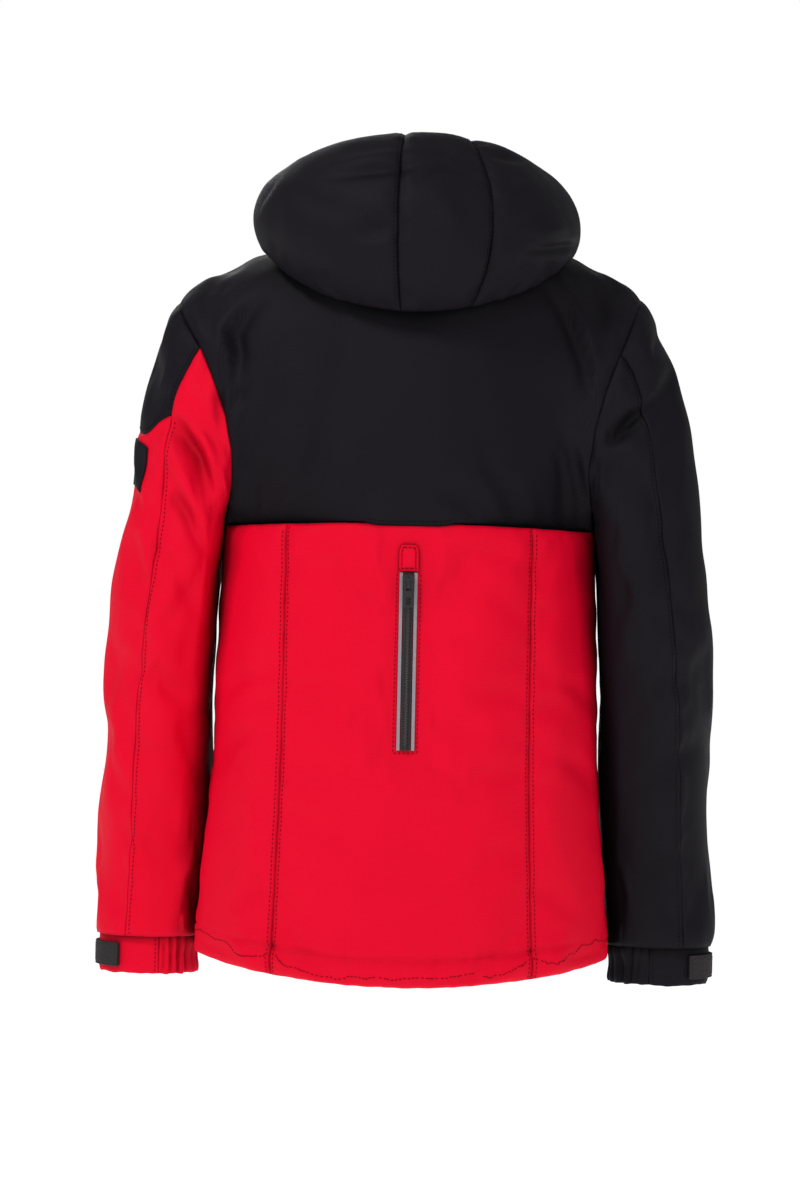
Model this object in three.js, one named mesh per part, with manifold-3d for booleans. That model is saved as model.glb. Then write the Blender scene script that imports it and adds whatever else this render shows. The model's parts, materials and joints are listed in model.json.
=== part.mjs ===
// Insulated ski jacket, standing as if worn, with the hood down and every zip closed.
// Millimetres. +Z is up, the chest faces -Y, the back +Y, and the wearer's left is +X.
// The origin is the middle of the neck opening, at the height of the nape.
import * as THREE from "three";
import Module from "manifold-3d";

const wasm = await Module();
wasm.setup();

// ---- Driving dimensions ----
const clearance = 0.4; // between the edges of two sewn pieces
const shell = 4; // face fabric with its padding
const liningCloth = 1.6;
const backLength = 737; // nape to hem at the centre back
const sideLength = 716; // nape height to hem at the side seam
const frontLength = 722; // nape height to hem at the front zip
const yokeDrop = 282; // nape to yoke seam at the centre back
const armpitDrop = 298;
const chestHalfWidth = 190;
const waistHalfWidth = 196;
const hemHalfWidth = 210;
const backDepthAtYoke = 142;
const backDepthAtHem = 132;
const frontDepthAtNeck = 98;
const frontDepthAtHem = 134;
const chestSwell = 15; // how far each side of the chest stands out past the zip
const sectionPower = 0.85; // 1 gives an ellipse, less gives a boxier torso
const princessAtYoke = 124.5; // half the width of the centre back panel
const princessAtHem = 130;
const shoulderHalfWidth = 233;
const shoulderDrop = 48;
const neckHalfWidth = 80;
const neckRise = 32; // of the side of the neck over the nape
const neckBack = 62;
const neckFrontDrop = 62;
const armholeHalfDepth = 88;
const armholeBow = 25; // how far front and back of the armhole curve in
const sleeveLength = 706; // nape height to the end of the sleeve cloth
const cuffWidth = 112;
const armGap = 3; // between the sleeve and the side of the body
const bicepHalfDepth = 78;
const elbowHalfDepth = 66;
const wristHalfDepth = 46;
const armForward = { left: 45, right: 30 }; // of the wrist
const armBack = { left: 0, right: 20 }; // of the upper arm
const cuffHeight = 38;
const cuffHalfDepth = 38;
const cuffInset = 3; // the cuff is this much smaller all round than the sleeve
const tabHeight = 24;
const collarBackHeight = 64;
const collarSideHeight = 48;
const collarFrontHeight = 116;
const collarLean = 9;
const hoodTwist = 28; // how far the hood's middle panel has slipped to the right
const hoodMiddleWidth = 86;
const zipHalfWidth = 7; // front zip, cloth edge to centre
const coilWidth = 3;
const coilHeight = 2.4;
const tapeThickness = 1.2;
const backZipLength = 174;
const backZipDrop = 330; // nape to the top of the back zip
const handZipLength = 165;
const handZipDrop = 430;
const handZipOffset = 112; // from the front zip to the top of the pocket zip
const handZipSlant = 0.2; // sideways run for each millimetre down
const tapeHalfWidth = 5; // pocket zips
const stripWidth = 3.5; // reflective edges of the back pocket
const garageHeight = 27;
const badgeHeight = 47;
const badgeDrop = 194;
const hingeRadius = 0.9; // of the bar that a zip pull hangs on

const rad = THREE.MathUtils.degToRad;
const mix = THREE.MathUtils.lerp;
const smooth = (t) => THREE.MathUtils.smoothstep(t, 0, 1);
const vec = (x, y, z) => new THREE.Vector3(x, y, z);
const mirrorX = (p) => vec(-p.x, p.y, p.z);

// ---- Materials ----
const finish = (color, roughness, metalness = 0) =>
  new THREE.MeshStandardMaterial({ color, roughness, metalness });
const red = finish(0xea0d31, 0.75);
const black = finish(0x201e23, 0.8);
const liningBlack = finish(0x26242a, 0.6);
const reflective = finish(0x968c96, 0.4);
const coil = finish(0x1b1a1c, 0.5);
const metal = finish(0x3a393c, 0.35, 0.8);
const hookLoop = finish(0x171015, 0.9);
const moulded = finish(0x161518, 0.5);

const jacket = new THREE.Group();

function add(name, geometry, material, parent = jacket) {
  const mesh = new THREE.Mesh(geometry, material);
  mesh.name = name;
  parent.add(mesh);
}

// ---- Solids ----
// Turns the triangles round where they face inwards.
function facingOut(geometry) {
  const p = geometry.attributes.position;
  const index = geometry.index.array;
  const corner = (i) => vec(p.getX(index[i]), p.getY(index[i]), p.getZ(index[i]));
  let volume = 0;
  for (let i = 0; i < index.length; i += 3) {
    volume += corner(i).dot(corner(i + 1).cross(corner(i + 2)));
  }
  if (volume < 0) {
    for (let i = 0; i < index.length; i += 3) {
      [index[i + 1], index[i + 2]] = [index[i + 2], index[i + 1]];
    }
  }
  return geometry;
}

// A closed cloth panel. point(u, v) is its outer face, us and vs are where its lines run,
// inward(p, u, v) is the way its thickness goes, and top and bottom are its two depths.
// Each edge is drawn in by half a clearance, or as gaps says for u0, u1, v0 and v1.
function panel({ point, us, vs, inward, top = 0, bottom = shell, gaps = {} }) {
  const grid = us.map((u) => vs.map((v) => point(u, v)));
  const lastU = us.length - 1;
  const lastV = vs.length - 1;
  const drawn = (from, to, edge) => {
    const gap = gaps[edge] ?? clearance / 2;
    return to.clone().sub(from).setLength(1).multiplyScalar(gap);
  };
  const outer = grid.map((column, i) =>
    column.map((p, j) => {
      const q = p.clone();
      if (i === 0) q.add(drawn(p, grid[1][j], "u0"));
      if (i === lastU) q.add(drawn(p, grid[lastU - 1][j], "u1"));
      if (j === 0) q.add(drawn(p, column[1], "v0"));
      if (j === lastV) q.add(drawn(p, column[lastV - 1], "v1"));
      return q;
    }),
  );
  const geometry = new THREE.BoxGeometry(1, 1, 1, lastU, lastV, 1);
  const place = geometry.attributes.position;
  for (let k = 0; k < place.count; k++) {
    const i = Math.round((place.getX(k) + 0.5) * lastU);
    const j = Math.round((place.getY(k) + 0.5) * lastV);
    const depth = place.getZ(k) > 0 ? top : bottom;
    const q = outer[i][j].clone().addScaledVector(inward(outer[i][j], us[i], vs[j]), depth);
    place.setXYZ(k, q.x, q.y, q.z);
  }
  geometry.deleteAttribute("normal");
  geometry.deleteAttribute("uv");
  // Both faces split their squares along the same diagonal, so that layers lie flat on each other.
  const index = geometry.index.array;
  for (let i = geometry.groups[5].start; i < index.length; i += 6) {
    const [a, b, d, , c] = index.subarray(i, i + 6);
    index.set([a, b, c, a, c, d], i);
  }
  return facingOut(geometry);
}

// Evenly spaced values from a to b.
const steps = (a, b, n) => Array.from({ length: n + 1 }, (_, i) => mix(a, b, i / n));

// A prism: an outline in its own x and y, pushed along z.
function prism(outline, length) {
  const shape = new THREE.Shape(outline.map(([x, y]) => new THREE.Vector2(x, y)));
  return new THREE.ExtrudeGeometry(shape, { depth: length, bevelEnabled: false });
}

function solidOf(geometry) {
  const merged = geometry.index ? geometry.toNonIndexed() : geometry.clone();
  const p = merged.attributes.position;
  const known = new Map();
  const corners = [];
  const triVerts = new Uint32Array(p.count);
  for (let i = 0; i < p.count; i++) {
    const at = [p.getX(i), p.getY(i), p.getZ(i)];
    const key = at.map((n) => Math.round(n * 1e4)).join();
    if (!known.has(key)) {
      known.set(key, corners.length / 3);
      corners.push(...at);
    }
    triVerts[i] = known.get(key);
  }
  const mesh = new wasm.Mesh({ numProp: 3, vertProperties: new Float32Array(corners), triVerts });
  return new wasm.Manifold(mesh);
}

function geometryOf(solid) {
  const mesh = solid.getMesh();
  const geometry = new THREE.BufferGeometry();
  geometry.setAttribute("position", new THREE.BufferAttribute(mesh.vertProperties, 3));
  return geometry.setIndex(new THREE.BufferAttribute(mesh.triVerts, 1));
}

// Joins geometries into one body, and cuts others out of it.
function joined(parts, cuts = []) {
  const whole = parts.map(solidOf).reduce((a, b) => a.add(b));
  return geometryOf(cuts.map(solidOf).reduce((a, b) => a.subtract(b), whole));
}

const boxAt = (sx, sy, sz, x, y, z) => new THREE.BoxGeometry(sx, sy, sz).translate(x, y, z);

// ---- Torso form ----
// Value at t on a smooth line through [t, value] pairs.
function profile(pairs) {
  const points = pairs.map(([t, value]) => new THREE.Vector2(t, value));
  return (t) => {
    let k = 0;
    while (k < points.length - 2 && t > points[k + 1].x) k += 1;
    const a = points[k];
    const b = points[k + 1];
    return mix(a.y, b.y, smooth(THREE.MathUtils.clamp((t - a.x) / (b.x - a.x), 0, 1)));
  };
}

const halfWidthBelowNape = profile([
  [armpitDrop, chestHalfWidth],
  [mix(armpitDrop, sideLength, 0.5), waistHalfWidth],
  [sideLength, hemHalfWidth],
]);
const backDepth = (z) =>
  mix(backDepthAtYoke, backDepthAtHem, (-z - yokeDrop) / (backLength - yokeDrop));
const frontDepth = (z) =>
  mix(frontDepthAtNeck, frontDepthAtHem, (-z - neckFrontDrop) / (frontLength - neckFrontDrop));
const chestSwellAt = (x, z) =>
  chestSwell *
  Math.sin((Math.PI * Math.min(Math.abs(x), chestHalfWidth)) / chestHalfWidth) ** 2 *
  Math.exp(-(((z + yokeDrop * 0.8) / (yokeDrop * 0.55)) ** 2));

// A point on the torso. phi is 0 at the centre back, 90 degrees at the left side seam.
function torso(phi, z) {
  const c = Math.cos(phi);
  const x = halfWidthBelowNape(-z) * Math.sin(phi);
  const reach = Math.abs(c) < 1e-9 ? 0 : Math.abs(c) ** sectionPower;
  const y = c > 0 ? backDepth(z) * reach : -frontDepth(z) * reach - chestSwellAt(x, z);
  return vec(x, y, z);
}

const hemDrop = (phi) => {
  const c = Math.cos(phi);
  return mix(sideLength, c > 0 ? backLength : frontLength, c * c);
};

// The left armhole: alpha is 0 at the shoulder tip, 90 degrees at the back, 180 at the armpit.
function armhole(alpha) {
  const c = Math.cos(alpha);
  const s = Math.sin(alpha);
  const bow = armholeBow * s * s * (1 - 0.3 * c);
  return vec(
    mix(chestHalfWidth, shoulderHalfWidth, (1 + c) / 2) - bow,
    armholeHalfDepth * s,
    mix(-armpitDrop, -shoulderDrop, (1 + c) / 2),
  );
}

// Where the armhole is divided: by the rows of the yokes, and by the panels under the arm.
const sleeveSeam = 56;
const yokeAngles = [154, 130, 105, 80, sleeveSeam, 38, 19, 0].map(rad);
const underarmAngles = [154, 167, 180].map(rad);
const yokeEnd = yokeAngles[0];
const halfTurn = Math.PI;

// The neckline: theta is 0 at the nape, 90 degrees at the side, 180 at the front zip.
function neckline(theta) {
  const c = Math.cos(theta);
  const s = Math.sin(theta);
  return vec(
    neckHalfWidth * s,
    (c > 0 ? neckBack : frontDepthAtNeck) * c,
    neckRise * s * s - (c > 0 ? 0 : neckFrontDrop) * c * c,
  );
}

// The yoke seam: u is 0 at the middle and 1 where it meets the armhole. face is 1 back, -1 front.
function yokeSeam(face, u) {
  const end = armhole(face * yokeEnd);
  const x = u * end.x;
  const z = mix(-yokeDrop, end.z, u * u);
  const phi = Math.asin(Math.min(1, Math.abs(x) / halfWidthBelowNape(-z)));
  const p = torso(face > 0 ? phi : halfTurn - phi, z);
  p.x = x;
  p.y = mix(p.y, end.y, Math.abs(u) ** 6);
  return p;
}

const neckShare = 0.4; // the part of the yoke's width that ends at the neckline
const zipEdgeU = zipHalfWidth / armhole(yokeEnd).x;
// The neckline's lines bunch towards the zip so that the zip's edge runs straight up the chest.
const neckSpread =
  Math.log(Math.asin(zipHalfWidth / neckHalfWidth) / rad(90)) / Math.log(zipEdgeU / neckShare);
const neckAngle = (a) => rad(90) * Math.min(1, a / neckShare) ** neckSpread;

function yokeTop(face, u) {
  const a = Math.abs(u);
  const theta = neckAngle(a);
  const side = neckline(rad(90));
  const p =
    a > neckShare
      ? side.lerp(armhole(0), (a - neckShare) / (1 - neckShare))
      : neckline(face > 0 ? theta : halfTurn - theta);
  p.x *= Math.sign(u) || 1;
  return p;
}

// A yoke, back or front: u runs across it, alpha up the armhole from the yoke seam to the shoulder.
function yoke(face, u, alpha) {
  const a = Math.abs(u);
  const low = armhole(face * yokeEnd);
  const side = armhole(face * alpha);
  const high = armhole(0);
  const rise = (side.z - low.z) / (high.z - low.z);
  const seam = yokeSeam(face, u);
  const top = yokeTop(face, u);
  const rounded = (1 - rise ** 3.2) ** 0.52;
  const fall = face > 0 ? rounded : mix(1 - rise, rounded, smooth(a / 0.35));
  const shoulderWeight = a ** 3;
  const width = side.x - mix(low.x, high.x, rise);
  return vec(
    mix(seam.x, top.x, rise) + width * Math.sign(u) * a * a,
    mix(mix(top.y, seam.y, fall), side.y, shoulderWeight) -
      (face < 0 ? chestSwellAt(seam.x, seam.z) * (rise * (1 - rise)) * (1 - shoulderWeight) : 0),
    mix(seam.z, top.z, rise),
  );
}

// The way in from the torso's surface: level on the body, turning down over the shoulders.
function intoTorso(p) {
  const shoulder = mix(neckRise, -shoulderDrop, Math.abs(p.x) / shoulderHalfWidth);
  const target = vec(p.x * 0.7, 0, Math.min(p.z, shoulder - 100));
  return target.sub(p).normalize();
}

// Torso below the yoke: u as on the yoke seam up to 1, then 1 to 2 along the underarm.
function lowerTorso(face, u, v) {
  const a = Math.abs(u);
  const sign = Math.sign(u) || 1;
  let top;
  if (a <= 1) {
    top = yokeSeam(face, a);
  } else {
    top = armhole(face * mix(yokeEnd, halfTurn, a - 1));
  }
  const princess = princessAtYoke / armhole(yokeEnd).x;
  const topPhi = Math.asin(Math.min(1, top.x / halfWidthBelowNape(-top.z)));
  const hemPhiAtPrincess = Math.asin(princessAtHem / hemHalfWidth);
  const seamPhi = Math.asin(princessAtYoke / halfWidthBelowNape(yokeDrop));
  const share = a <= princess ? 0 : (topPhi - seamPhi) / (halfTurn / 2 - seamPhi);
  const hemPhi =
    a <= princess
      ? Math.asin((Math.sin(hemPhiAtPrincess) * a) / princess)
      : mix(hemPhiAtPrincess, halfTurn / 2, THREE.MathUtils.clamp(share, 0, 1));
  const squarePhi = a >= 2 ? halfTurn / 2 : topPhi;
  const phi = mix(hemPhi, squarePhi, v);
  const around = (angle) => (face > 0 ? angle : halfTurn - angle);
  const z = mix(-hemDrop(around(hemPhi)), top.z, v);
  const p = torso(around(phi), z);
  const miss = top.clone().sub(torso(around(squarePhi), top.z));
  p.addScaledVector(miss, v ** 6);
  p.x *= sign;
  return p;
}

// ---- Torso panels ----
const princessU = princessAtYoke / armhole(yokeEnd).x;
const neckU = steps(0, neckShare, 4);
const centreU = [...neckU, princessU];
const sideU = [princessU, 0.85, 1];
const underU = [1.5, 2];
const frontU = [zipEdgeU, ...centreU.slice(1), ...sideU.slice(1)];
const lowerRows = [0, 0.055, 0.18, 0.32, 0.46, 0.6, 0.74, 0.88, 1];
const mirrored = (list) => [...list.slice(1).map((u) => -u).reverse(), ...list];
const liningDepth = { top: shell + 2 * clearance, bottom: shell + 2 * clearance + liningCloth };
const sides = [
  ["left", 1],
  ["right", -1],
];

const yokePanel = (face, us, more) =>
  panel({ point: (u, a) => yoke(face, u, a), us, vs: yokeAngles, inward: intoTorso, ...more });
const lowerPanel = (face, us, more) =>
  panel({ point: (u, v) => lowerTorso(face, u, v), us, vs: lowerRows, inward: intoTorso, ...more });

// A lining of yoke and lower panel in one, sewn flat across the yoke seam.
const liningPanel = (face, yokeUs, lowerUs) =>
  joined([
    yokePanel(face, yokeUs, { ...liningDepth, gaps: { v0: -clearance / 4 } }),
    lowerPanel(face, lowerUs, { ...liningDepth, gaps: { v1: -clearance / 4 } }),
  ]);

const backYokeU = mirrored([...centreU, ...sideU.slice(1)]);
add("back_yoke", yokePanel(1, backYokeU), black);
add("back_centre_panel", lowerPanel(1, mirrored(centreU)), red);
const backLowerU = mirrored([...centreU, ...sideU.slice(1), ...underU]);
add("lining_back", liningPanel(1, backYokeU, backLowerU), liningBlack);

for (const [side, sign] of sides) {
  const turned = (list) => list.map((u) => u * sign).sort((a, b) => a - b);
  add("back_side_panel_" + side, lowerPanel(1, turned([...sideU, ...underU])), red);
  add("front_yoke_" + side, yokePanel(-1, turned(frontU)), black);
  add("front_panel_" + side, lowerPanel(-1, turned([...frontU, ...underU])), red);
  const lining = liningPanel(-1, turned(frontU), turned([...frontU, ...underU]));
  add("lining_front_" + side, lining, liningBlack);
}

// ---- Sleeves ----
const sleeveSpan = sleeveLength - shoulderDrop;
// Half the torso's width at one height, this far in front of the side seam or behind it.
const torsoSide = (y, drop) => {
  const depth = y > 0 ? backDepth(-drop) : frontDepth(-drop);
  const c = (Math.abs(y) / depth) ** (1 / sectionPower);
  return halfWidthBelowNape(drop) * Math.sqrt(1 - c * c);
};
const outerShares = [
  [0, 0],
  [0.067, 0.27],
  [0.13, 0.414],
  [0.252, 0.6],
  [0.377, 0.734],
  [0.562, 0.864],
  [0.749, 0.923],
  [1, 1],
];
const outerLineOf = (side) => {
  const atCuff = torsoSide(armForward[side], sleeveLength) + armGap + cuffWidth;
  return new THREE.CatmullRomCurve3(
    outerShares.map(([t, share]) =>
      vec(mix(shoulderHalfWidth, atCuff, share), 0, -shoulderDrop - t * sleeveSpan),
    ),
  );
};
const outerLine = { left: outerLineOf("left"), right: outerLineOf("right") };
const sleeveHalfDepth = profile([
  [0, armholeHalfDepth],
  [0.25, bicepHalfDepth],
  [0.6, elbowHalfDepth],
  [1, wristHalfDepth],
]);

// The sleeve's ring at s, from 0 at the armhole to 1 at the wrist.
function sleeveRing(side, s) {
  const out = outerLine[side].getPointAt(s ** 0.85);
  const innerShare = s ** 1.5;
  const innerDrop = mix(armpitDrop, sleeveLength, innerShare);
  const sway =
    armBack[side] * Math.sin(Math.PI * Math.min(1, s / 0.7)) -
    armForward[side] * smooth((s - 0.25) / 0.75);
  const gap = armGap * Math.min(1, innerShare * 12);
  const inner = vec(torsoSide(sway, innerDrop) + gap, 0, -innerDrop);
  return {
    middle: out.clone().add(inner).multiplyScalar(0.5).add(vec(0, sway, 0)),
    half: out.clone().sub(inner).multiplyScalar(0.5),
    depth: sleeveHalfDepth(s),
    bow: armholeBow * (1 - smooth(s / 0.7)),
  };
}

function sleeve(side, alpha, s) {
  const ring = sleeveRing(side, s);
  const turn = alpha + rad(12) * Math.sin(alpha) * smooth(s / 0.4);
  const c = Math.cos(turn);
  const k = Math.sin(turn);
  return vec(
    ring.middle.x + ring.half.x * c - ring.bow * k * k * (1 - 0.3 * c),
    ring.middle.y + ring.depth * k,
    ring.middle.z + ring.half.z * c,
  );
}

// The way in from the sleeve's cloth, to the middle of its ring.
function intoSleeve(side, p, s) {
  const ring = sleeveRing(side, s);
  return ring.middle.clone().add(vec(-ring.bow / 2, 0, 0)).sub(p).normalize();
}

// The row whose cloth at alpha lies this far below the nape.
function rowAtDrop(side, alpha, drop) {
  let low = 0;
  let high = 1;
  for (let i = 0; i < 40; i++) {
    const middle = (low + high) / 2;
    if (-sleeve(side, alpha, middle).z < drop) low = middle;
    else high = middle;
  }
  return low;
}

const seamAngle = rad(sleeveSeam);
const topAngles = mirrored([0, 19, 38, sleeveSeam].map(rad));
const underHalf = [sleeveSeam, 80, 105, 130, 154, 167, 180];
const underAngles = [...underHalf, ...underHalf.slice(0, -1).reverse().map((a) => 360 - a)].map(rad);
const shoulderPanelDrop = profile([
  [0, 190],
  [rad(38), 198],
  [seamAngle, 157],
]);
const shoulderRow = rowAtDrop("left", seamAngle, shoulderPanelDrop(seamAngle));
const sleeveRows = [0, shoulderRow / 2, ...steps(shoulderRow, 1, 8)];

// The sleeve's cloth on rows that follow the lower edge of the shoulder panel.
function sleeveOnRows(side, alpha, row) {
  const fromTop = Math.min(seamAngle, Math.abs(alpha), Math.abs(2 * halfTurn - alpha));
  const edge = fromTop < seamAngle ? rowAtDrop(side, alpha, shoulderPanelDrop(fromTop)) : shoulderRow;
  const shift = edge - shoulderRow;
  const s =
    row <= shoulderRow
      ? (row / shoulderRow) * edge
      : row + shift * (1 - smooth((row - shoulderRow) / 0.3));
  return [sleeve(side, alpha, s), s];
}

const sleevePanel = (side, sign, us, vs, more = {}, follow = false) => {
  const across = (p) => (sign > 0 ? p : mirrorX(p));
  const place = (a, row) => (follow ? sleeveOnRows(side, a, row) : [sleeve(side, a, row), row]);
  return panel({
    point: (a, row) => across(place(a, row)[0]),
    us,
    vs,
    inward: (p, a, row) => across(intoSleeve(side, across(p), place(a, row)[1])),
    ...more,
  });
};

const allAngles = [...topAngles, ...underAngles.slice(1)];
for (const [side, sign] of sides) {
  const cloth = side === "left" ? red : black;
  const follow = side === "left";
  add("sleeve_" + side + "_under", sleevePanel(side, sign, underAngles, sleeveRows, {}, follow), cloth);
  if (side === "left") {
    const cap = sleeveRows.slice(0, 3);
    add("sleeve_left_shoulder", sleevePanel(side, sign, topAngles, cap, {}, true), black);
    const lower = { gaps: { v0: 2 * clearance } };
    add("sleeve_left_top", sleevePanel(side, sign, topAngles, sleeveRows.slice(2), lower, true), cloth);
  } else {
    add("sleeve_right_top", sleevePanel(side, sign, topAngles, sleeveRows), cloth);
  }
  const lining = sleevePanel(side, sign, allAngles, sleeveRows, liningDepth, follow);
  add("sleeve_lining_" + side, lining, liningBlack);
}

const badgeRows = steps(0, 1, 2).map((t) => rowAtDrop("left", 0, badgeDrop + 3 + t * badgeHeight));
const badgeAngles = [-38, -19, 0, 19, 34].map(rad);
const badge = sleevePanel("left", 1, badgeAngles, badgeRows, { top: -2, bottom: -0.8 });
add("sleeve_badge", badge, hookLoop);

// ---- Cuffs ----
const cuffSeam = 104; // where the flat band meets the gathered part
function cuff(side, alpha, t) {
  const ring = sleeveRing(side, 1);
  const half = ring.half.x - cuffInset;
  return vec(
    ring.middle.x + half * Math.cos(alpha),
    ring.middle.y + cuffHalfDepth * Math.sin(alpha),
    ring.middle.z - clearance - t * cuffHeight,
  );
}
const cuffPanel = (side, sign, us, vs, more) => {
  const across = (p) => (sign > 0 ? p : mirrorX(p));
  const middle = sleeveRing(side, 1).middle;
  return panel({
    point: (a, t) => across(cuff(side, a, t)),
    us,
    vs,
    inward: (p) => vec(middle.x * sign - p.x, middle.y - p.y, 0).normalize(),
    ...more,
  });
};
const tabRows = [(1 - tabHeight / cuffHeight) / 2, (1 + tabHeight / cuffHeight) / 2];
const bandAngles = [-cuffSeam, -80, -56, -28, 0, 30, 59, 82, cuffSeam].map(rad);
const tabAngles = bandAngles.slice(2, 7);
const patchAngles = bandAngles.slice(3, 7);
for (const [side, sign] of sides) {
  const cloth = side === "left" ? red : black;
  const gatherAngles = steps(rad(cuffSeam), rad(360 - cuffSeam), 6);
  add("cuff_band_" + side, cuffPanel(side, sign, bandAngles, [0, 1], { bottom: 3 }), cloth);
  add("cuff_elastic_" + side, cuffPanel(side, sign, gatherAngles, [0, 1], { bottom: 3 }), cloth);
  const patchDepth = { top: -1.6, bottom: -0.5 };
  add("cuff_loop_patch_" + side, cuffPanel(side, sign, patchAngles, tabRows, patchDepth), hookLoop);
  const tabDepth = { top: -4.6, bottom: -2.2 };
  add("cuff_tab_" + side, cuffPanel(side, sign, tabAngles, tabRows, tabDepth), moulded);
}

// ---- Collar ----
const zipSlope = (frontDepthAtHem - frontDepthAtNeck) / (frontLength - neckFrontDrop);
function collar(theta, h) {
  const p = neckline(Math.abs(theta));
  const c = Math.cos(theta);
  const height = mix(collarSideHeight, c > 0 ? collarBackHeight : collarFrontHeight, c * c);
  const lean = c > 0 ? -collarLean * c : -zipSlope * height * c;
  p.x *= Math.sign(theta) || 1;
  return p.add(vec(0, lean * h, height * h));
}
const intoCollar = (p) => vec(-p.x, -p.y, 0).normalize();
const collarBack = neckU.map(neckAngle);
const collarFront = [...neckU.slice(1, -1).reverse(), zipEdgeU].map((a) => halfTurn - neckAngle(a));
const collarAngles = mirrored([...collarBack, ...collarFront]);
const collarPanel = (more) =>
  panel({ point: collar, us: collarAngles, vs: [0, 0.5, 1], inward: intoCollar, ...more });
add("collar_shell", collarPanel({ bottom: 3 }), black);
add("collar_lining", collarPanel({ top: 3 + clearance, bottom: 5 }), liningBlack);

// Hanging loop, sewn inside the back of the collar.
const loopHalfWidth = 32;
const loopBand = 7;
const loopThickness = 1.6;
const loopY = neckline(Math.asin(loopHalfWidth / neckHalfWidth)).y - 5 - 2.5 * clearance - loopThickness;
const arc = (r, drop, n) =>
  steps(0, halfTurn, n).map((a) => [r * Math.cos(a), -drop - r * 0.45 * Math.sin(a)]);
const loopOutline = [
  [loopHalfWidth, 16],
  ...arc(loopHalfWidth, 0, 10),
  [-loopHalfWidth, 16],
  [-loopHalfWidth + loopBand, 16],
  ...arc(loopHalfWidth - loopBand, 0, 10).reverse(),
  [loopHalfWidth - loopBand, 16],
];
const loopStrap = prism(loopOutline, loopThickness).rotateX(rad(90)).translate(0, loopY, 0);
add("hang_loop", loopStrap, moulded);

// ---- Hood ----
// Each station is one line of the folded hood, from its lowest fold to its rim:
// the fold, the belly, the upper back, the ridge and the rim.
const hoodStations = [
  [[0, 150, -74], [0, 186, -30], [0, 182, 42], [0, 122, 103], [0, 94, 96]],
  [[70, 132, -63], [90, 160, -22], [92, 158, 45], [66, 104, 97], [54, 82, 89]],
  [[122, 92, -38], [138, 112, -4], [138, 104, 48], [112, 66, 84], [96, 50, 77]],
  [[148, 30, -2], [157, 36, 16], [156, 28, 48], [138, 6, 68], [122, -4, 63]],
  [[94, -48, 16], [107, -58, 26], [106, -60, 42], [98, -57, 57], [89, -52, 55]],
];
const hoodReach = 92; // half the width of the belly at the second station
const stationPoint = ([x, y, z]) => vec(x, y, z);
const hoodRows = hoodStations[0].map((_, i) => {
  const half = hoodStations.map((station) => stationPoint(station[i]));
  return new THREE.CatmullRomCurve3([...half.slice(1).reverse().map(mirrorX), ...half]);
});
// q runs round the hood from -1, its right front end, to 1; r from the fold, 0, to the rim, 1.
function hood(q, r) {
  const line = new THREE.CatmullRomCurve3(hoodRows.map((row) => row.getPoint((q + 1) / 2)));
  return line.getPoint(r);
}
function intoHood(p, q, r) {
  const step = 0.01;
  const along = hood(Math.min(1, q + step), r).sub(hood(Math.max(-1, q - step), r));
  const up = hood(q, Math.min(1, r + step)).sub(hood(q, Math.max(0, r - step)));
  return along.cross(up).normalize();
}
const hoodPanel = (us, more) =>
  panel({ point: hood, us, vs: steps(0, 1, 6), inward: intoHood, ...more });
const panelEdge = (x) => (x / hoodReach) * 0.25;
const hoodLeftSeam = panelEdge(-hoodTwist + hoodMiddleWidth / 2);
const hoodRightSeam = panelEdge(-hoodTwist - hoodMiddleWidth / 2);
const leftQ = steps(hoodLeftSeam, 1, 9);
const rightQ = steps(-1, hoodRightSeam, 8);
const middleQ = steps(hoodRightSeam, hoodLeftSeam, 3);
add("hood_centre_panel", hoodPanel(middleQ, { bottom: 3 }), black);
add("hood_side_panel_left", hoodPanel(leftQ, { bottom: 3 }), black);
add("hood_side_panel_right", hoodPanel(rightQ, { bottom: 3 }), black);
const hoodQ = [...rightQ, ...middleQ.slice(1), ...leftQ.slice(1)];
add("hood_lining", hoodPanel(hoodQ, { top: 3 + clearance, bottom: 5 }), liningBlack);

// Rolled rim, with the tunnel for the hood's elastic.
const rimRadius = 4;
const rimPath = new THREE.CatmullRomCurve3(
  hoodQ.map((q) => {
    const edge = hood(q, 1);
    const out = edge.clone().sub(hood(q, 0.97)).setLength(rimRadius + 3.4);
    return edge.add(out).addScaledVector(intoHood(edge, q, 1), 2);
  }),
);
const rimSection = new THREE.Shape(
  steps(0, 2 * halfTurn, 7)
    .slice(0, -1)
    .map((a) => new THREE.Vector2(rimRadius * Math.cos(a), rimRadius * Math.sin(a))),
);
const rim = new THREE.ExtrudeGeometry(rimSection, { steps: 28, extrudePath: rimPath, bevelEnabled: false });
add("hood_rim", rim, black);

// The hood turns up about a line across its two front ends.
const hoodPivot = vec(0, -50, 14);

// The hood's neck, sewn to the collar seam and lying on the shoulders as far as the fold.
const hoodNeckReach = rad(130);
const hoodNeckLift = 22;
const hoodRunningGap = 0.9; // the neck's end clears the turning hood by this
function hoodNeck(q, t) {
  const seam = collar(hoodNeckReach * q, 0.06);
  const start = seam.addScaledVector(intoCollar(seam), -1.6);
  const fold = hood(q, 0);
  const liningEdge = fold.addScaledVector(intoHood(fold, q, 0), 5 + 4.6 * clearance);
  const toPivot = vec(0, hoodPivot.y - liningEdge.y, hoodPivot.z - liningEdge.z).normalize();
  const end = liningEdge.addScaledVector(toPivot, hoodRunningGap);
  const p = start.lerp(end, t);
  return p.addScaledVector(intoTorso(p), -hoodNeckLift * Math.sin(Math.PI * t) ** 0.8);
}
const hoodNeckPanel = panel({
  point: hoodNeck,
  us: steps(-1, 1, 18),
  vs: [0, 0.2, 0.5, 0.8, 1],
  inward: intoTorso,
  bottom: 2,
});
add("hood_neck", hoodNeckPanel, black);

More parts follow.
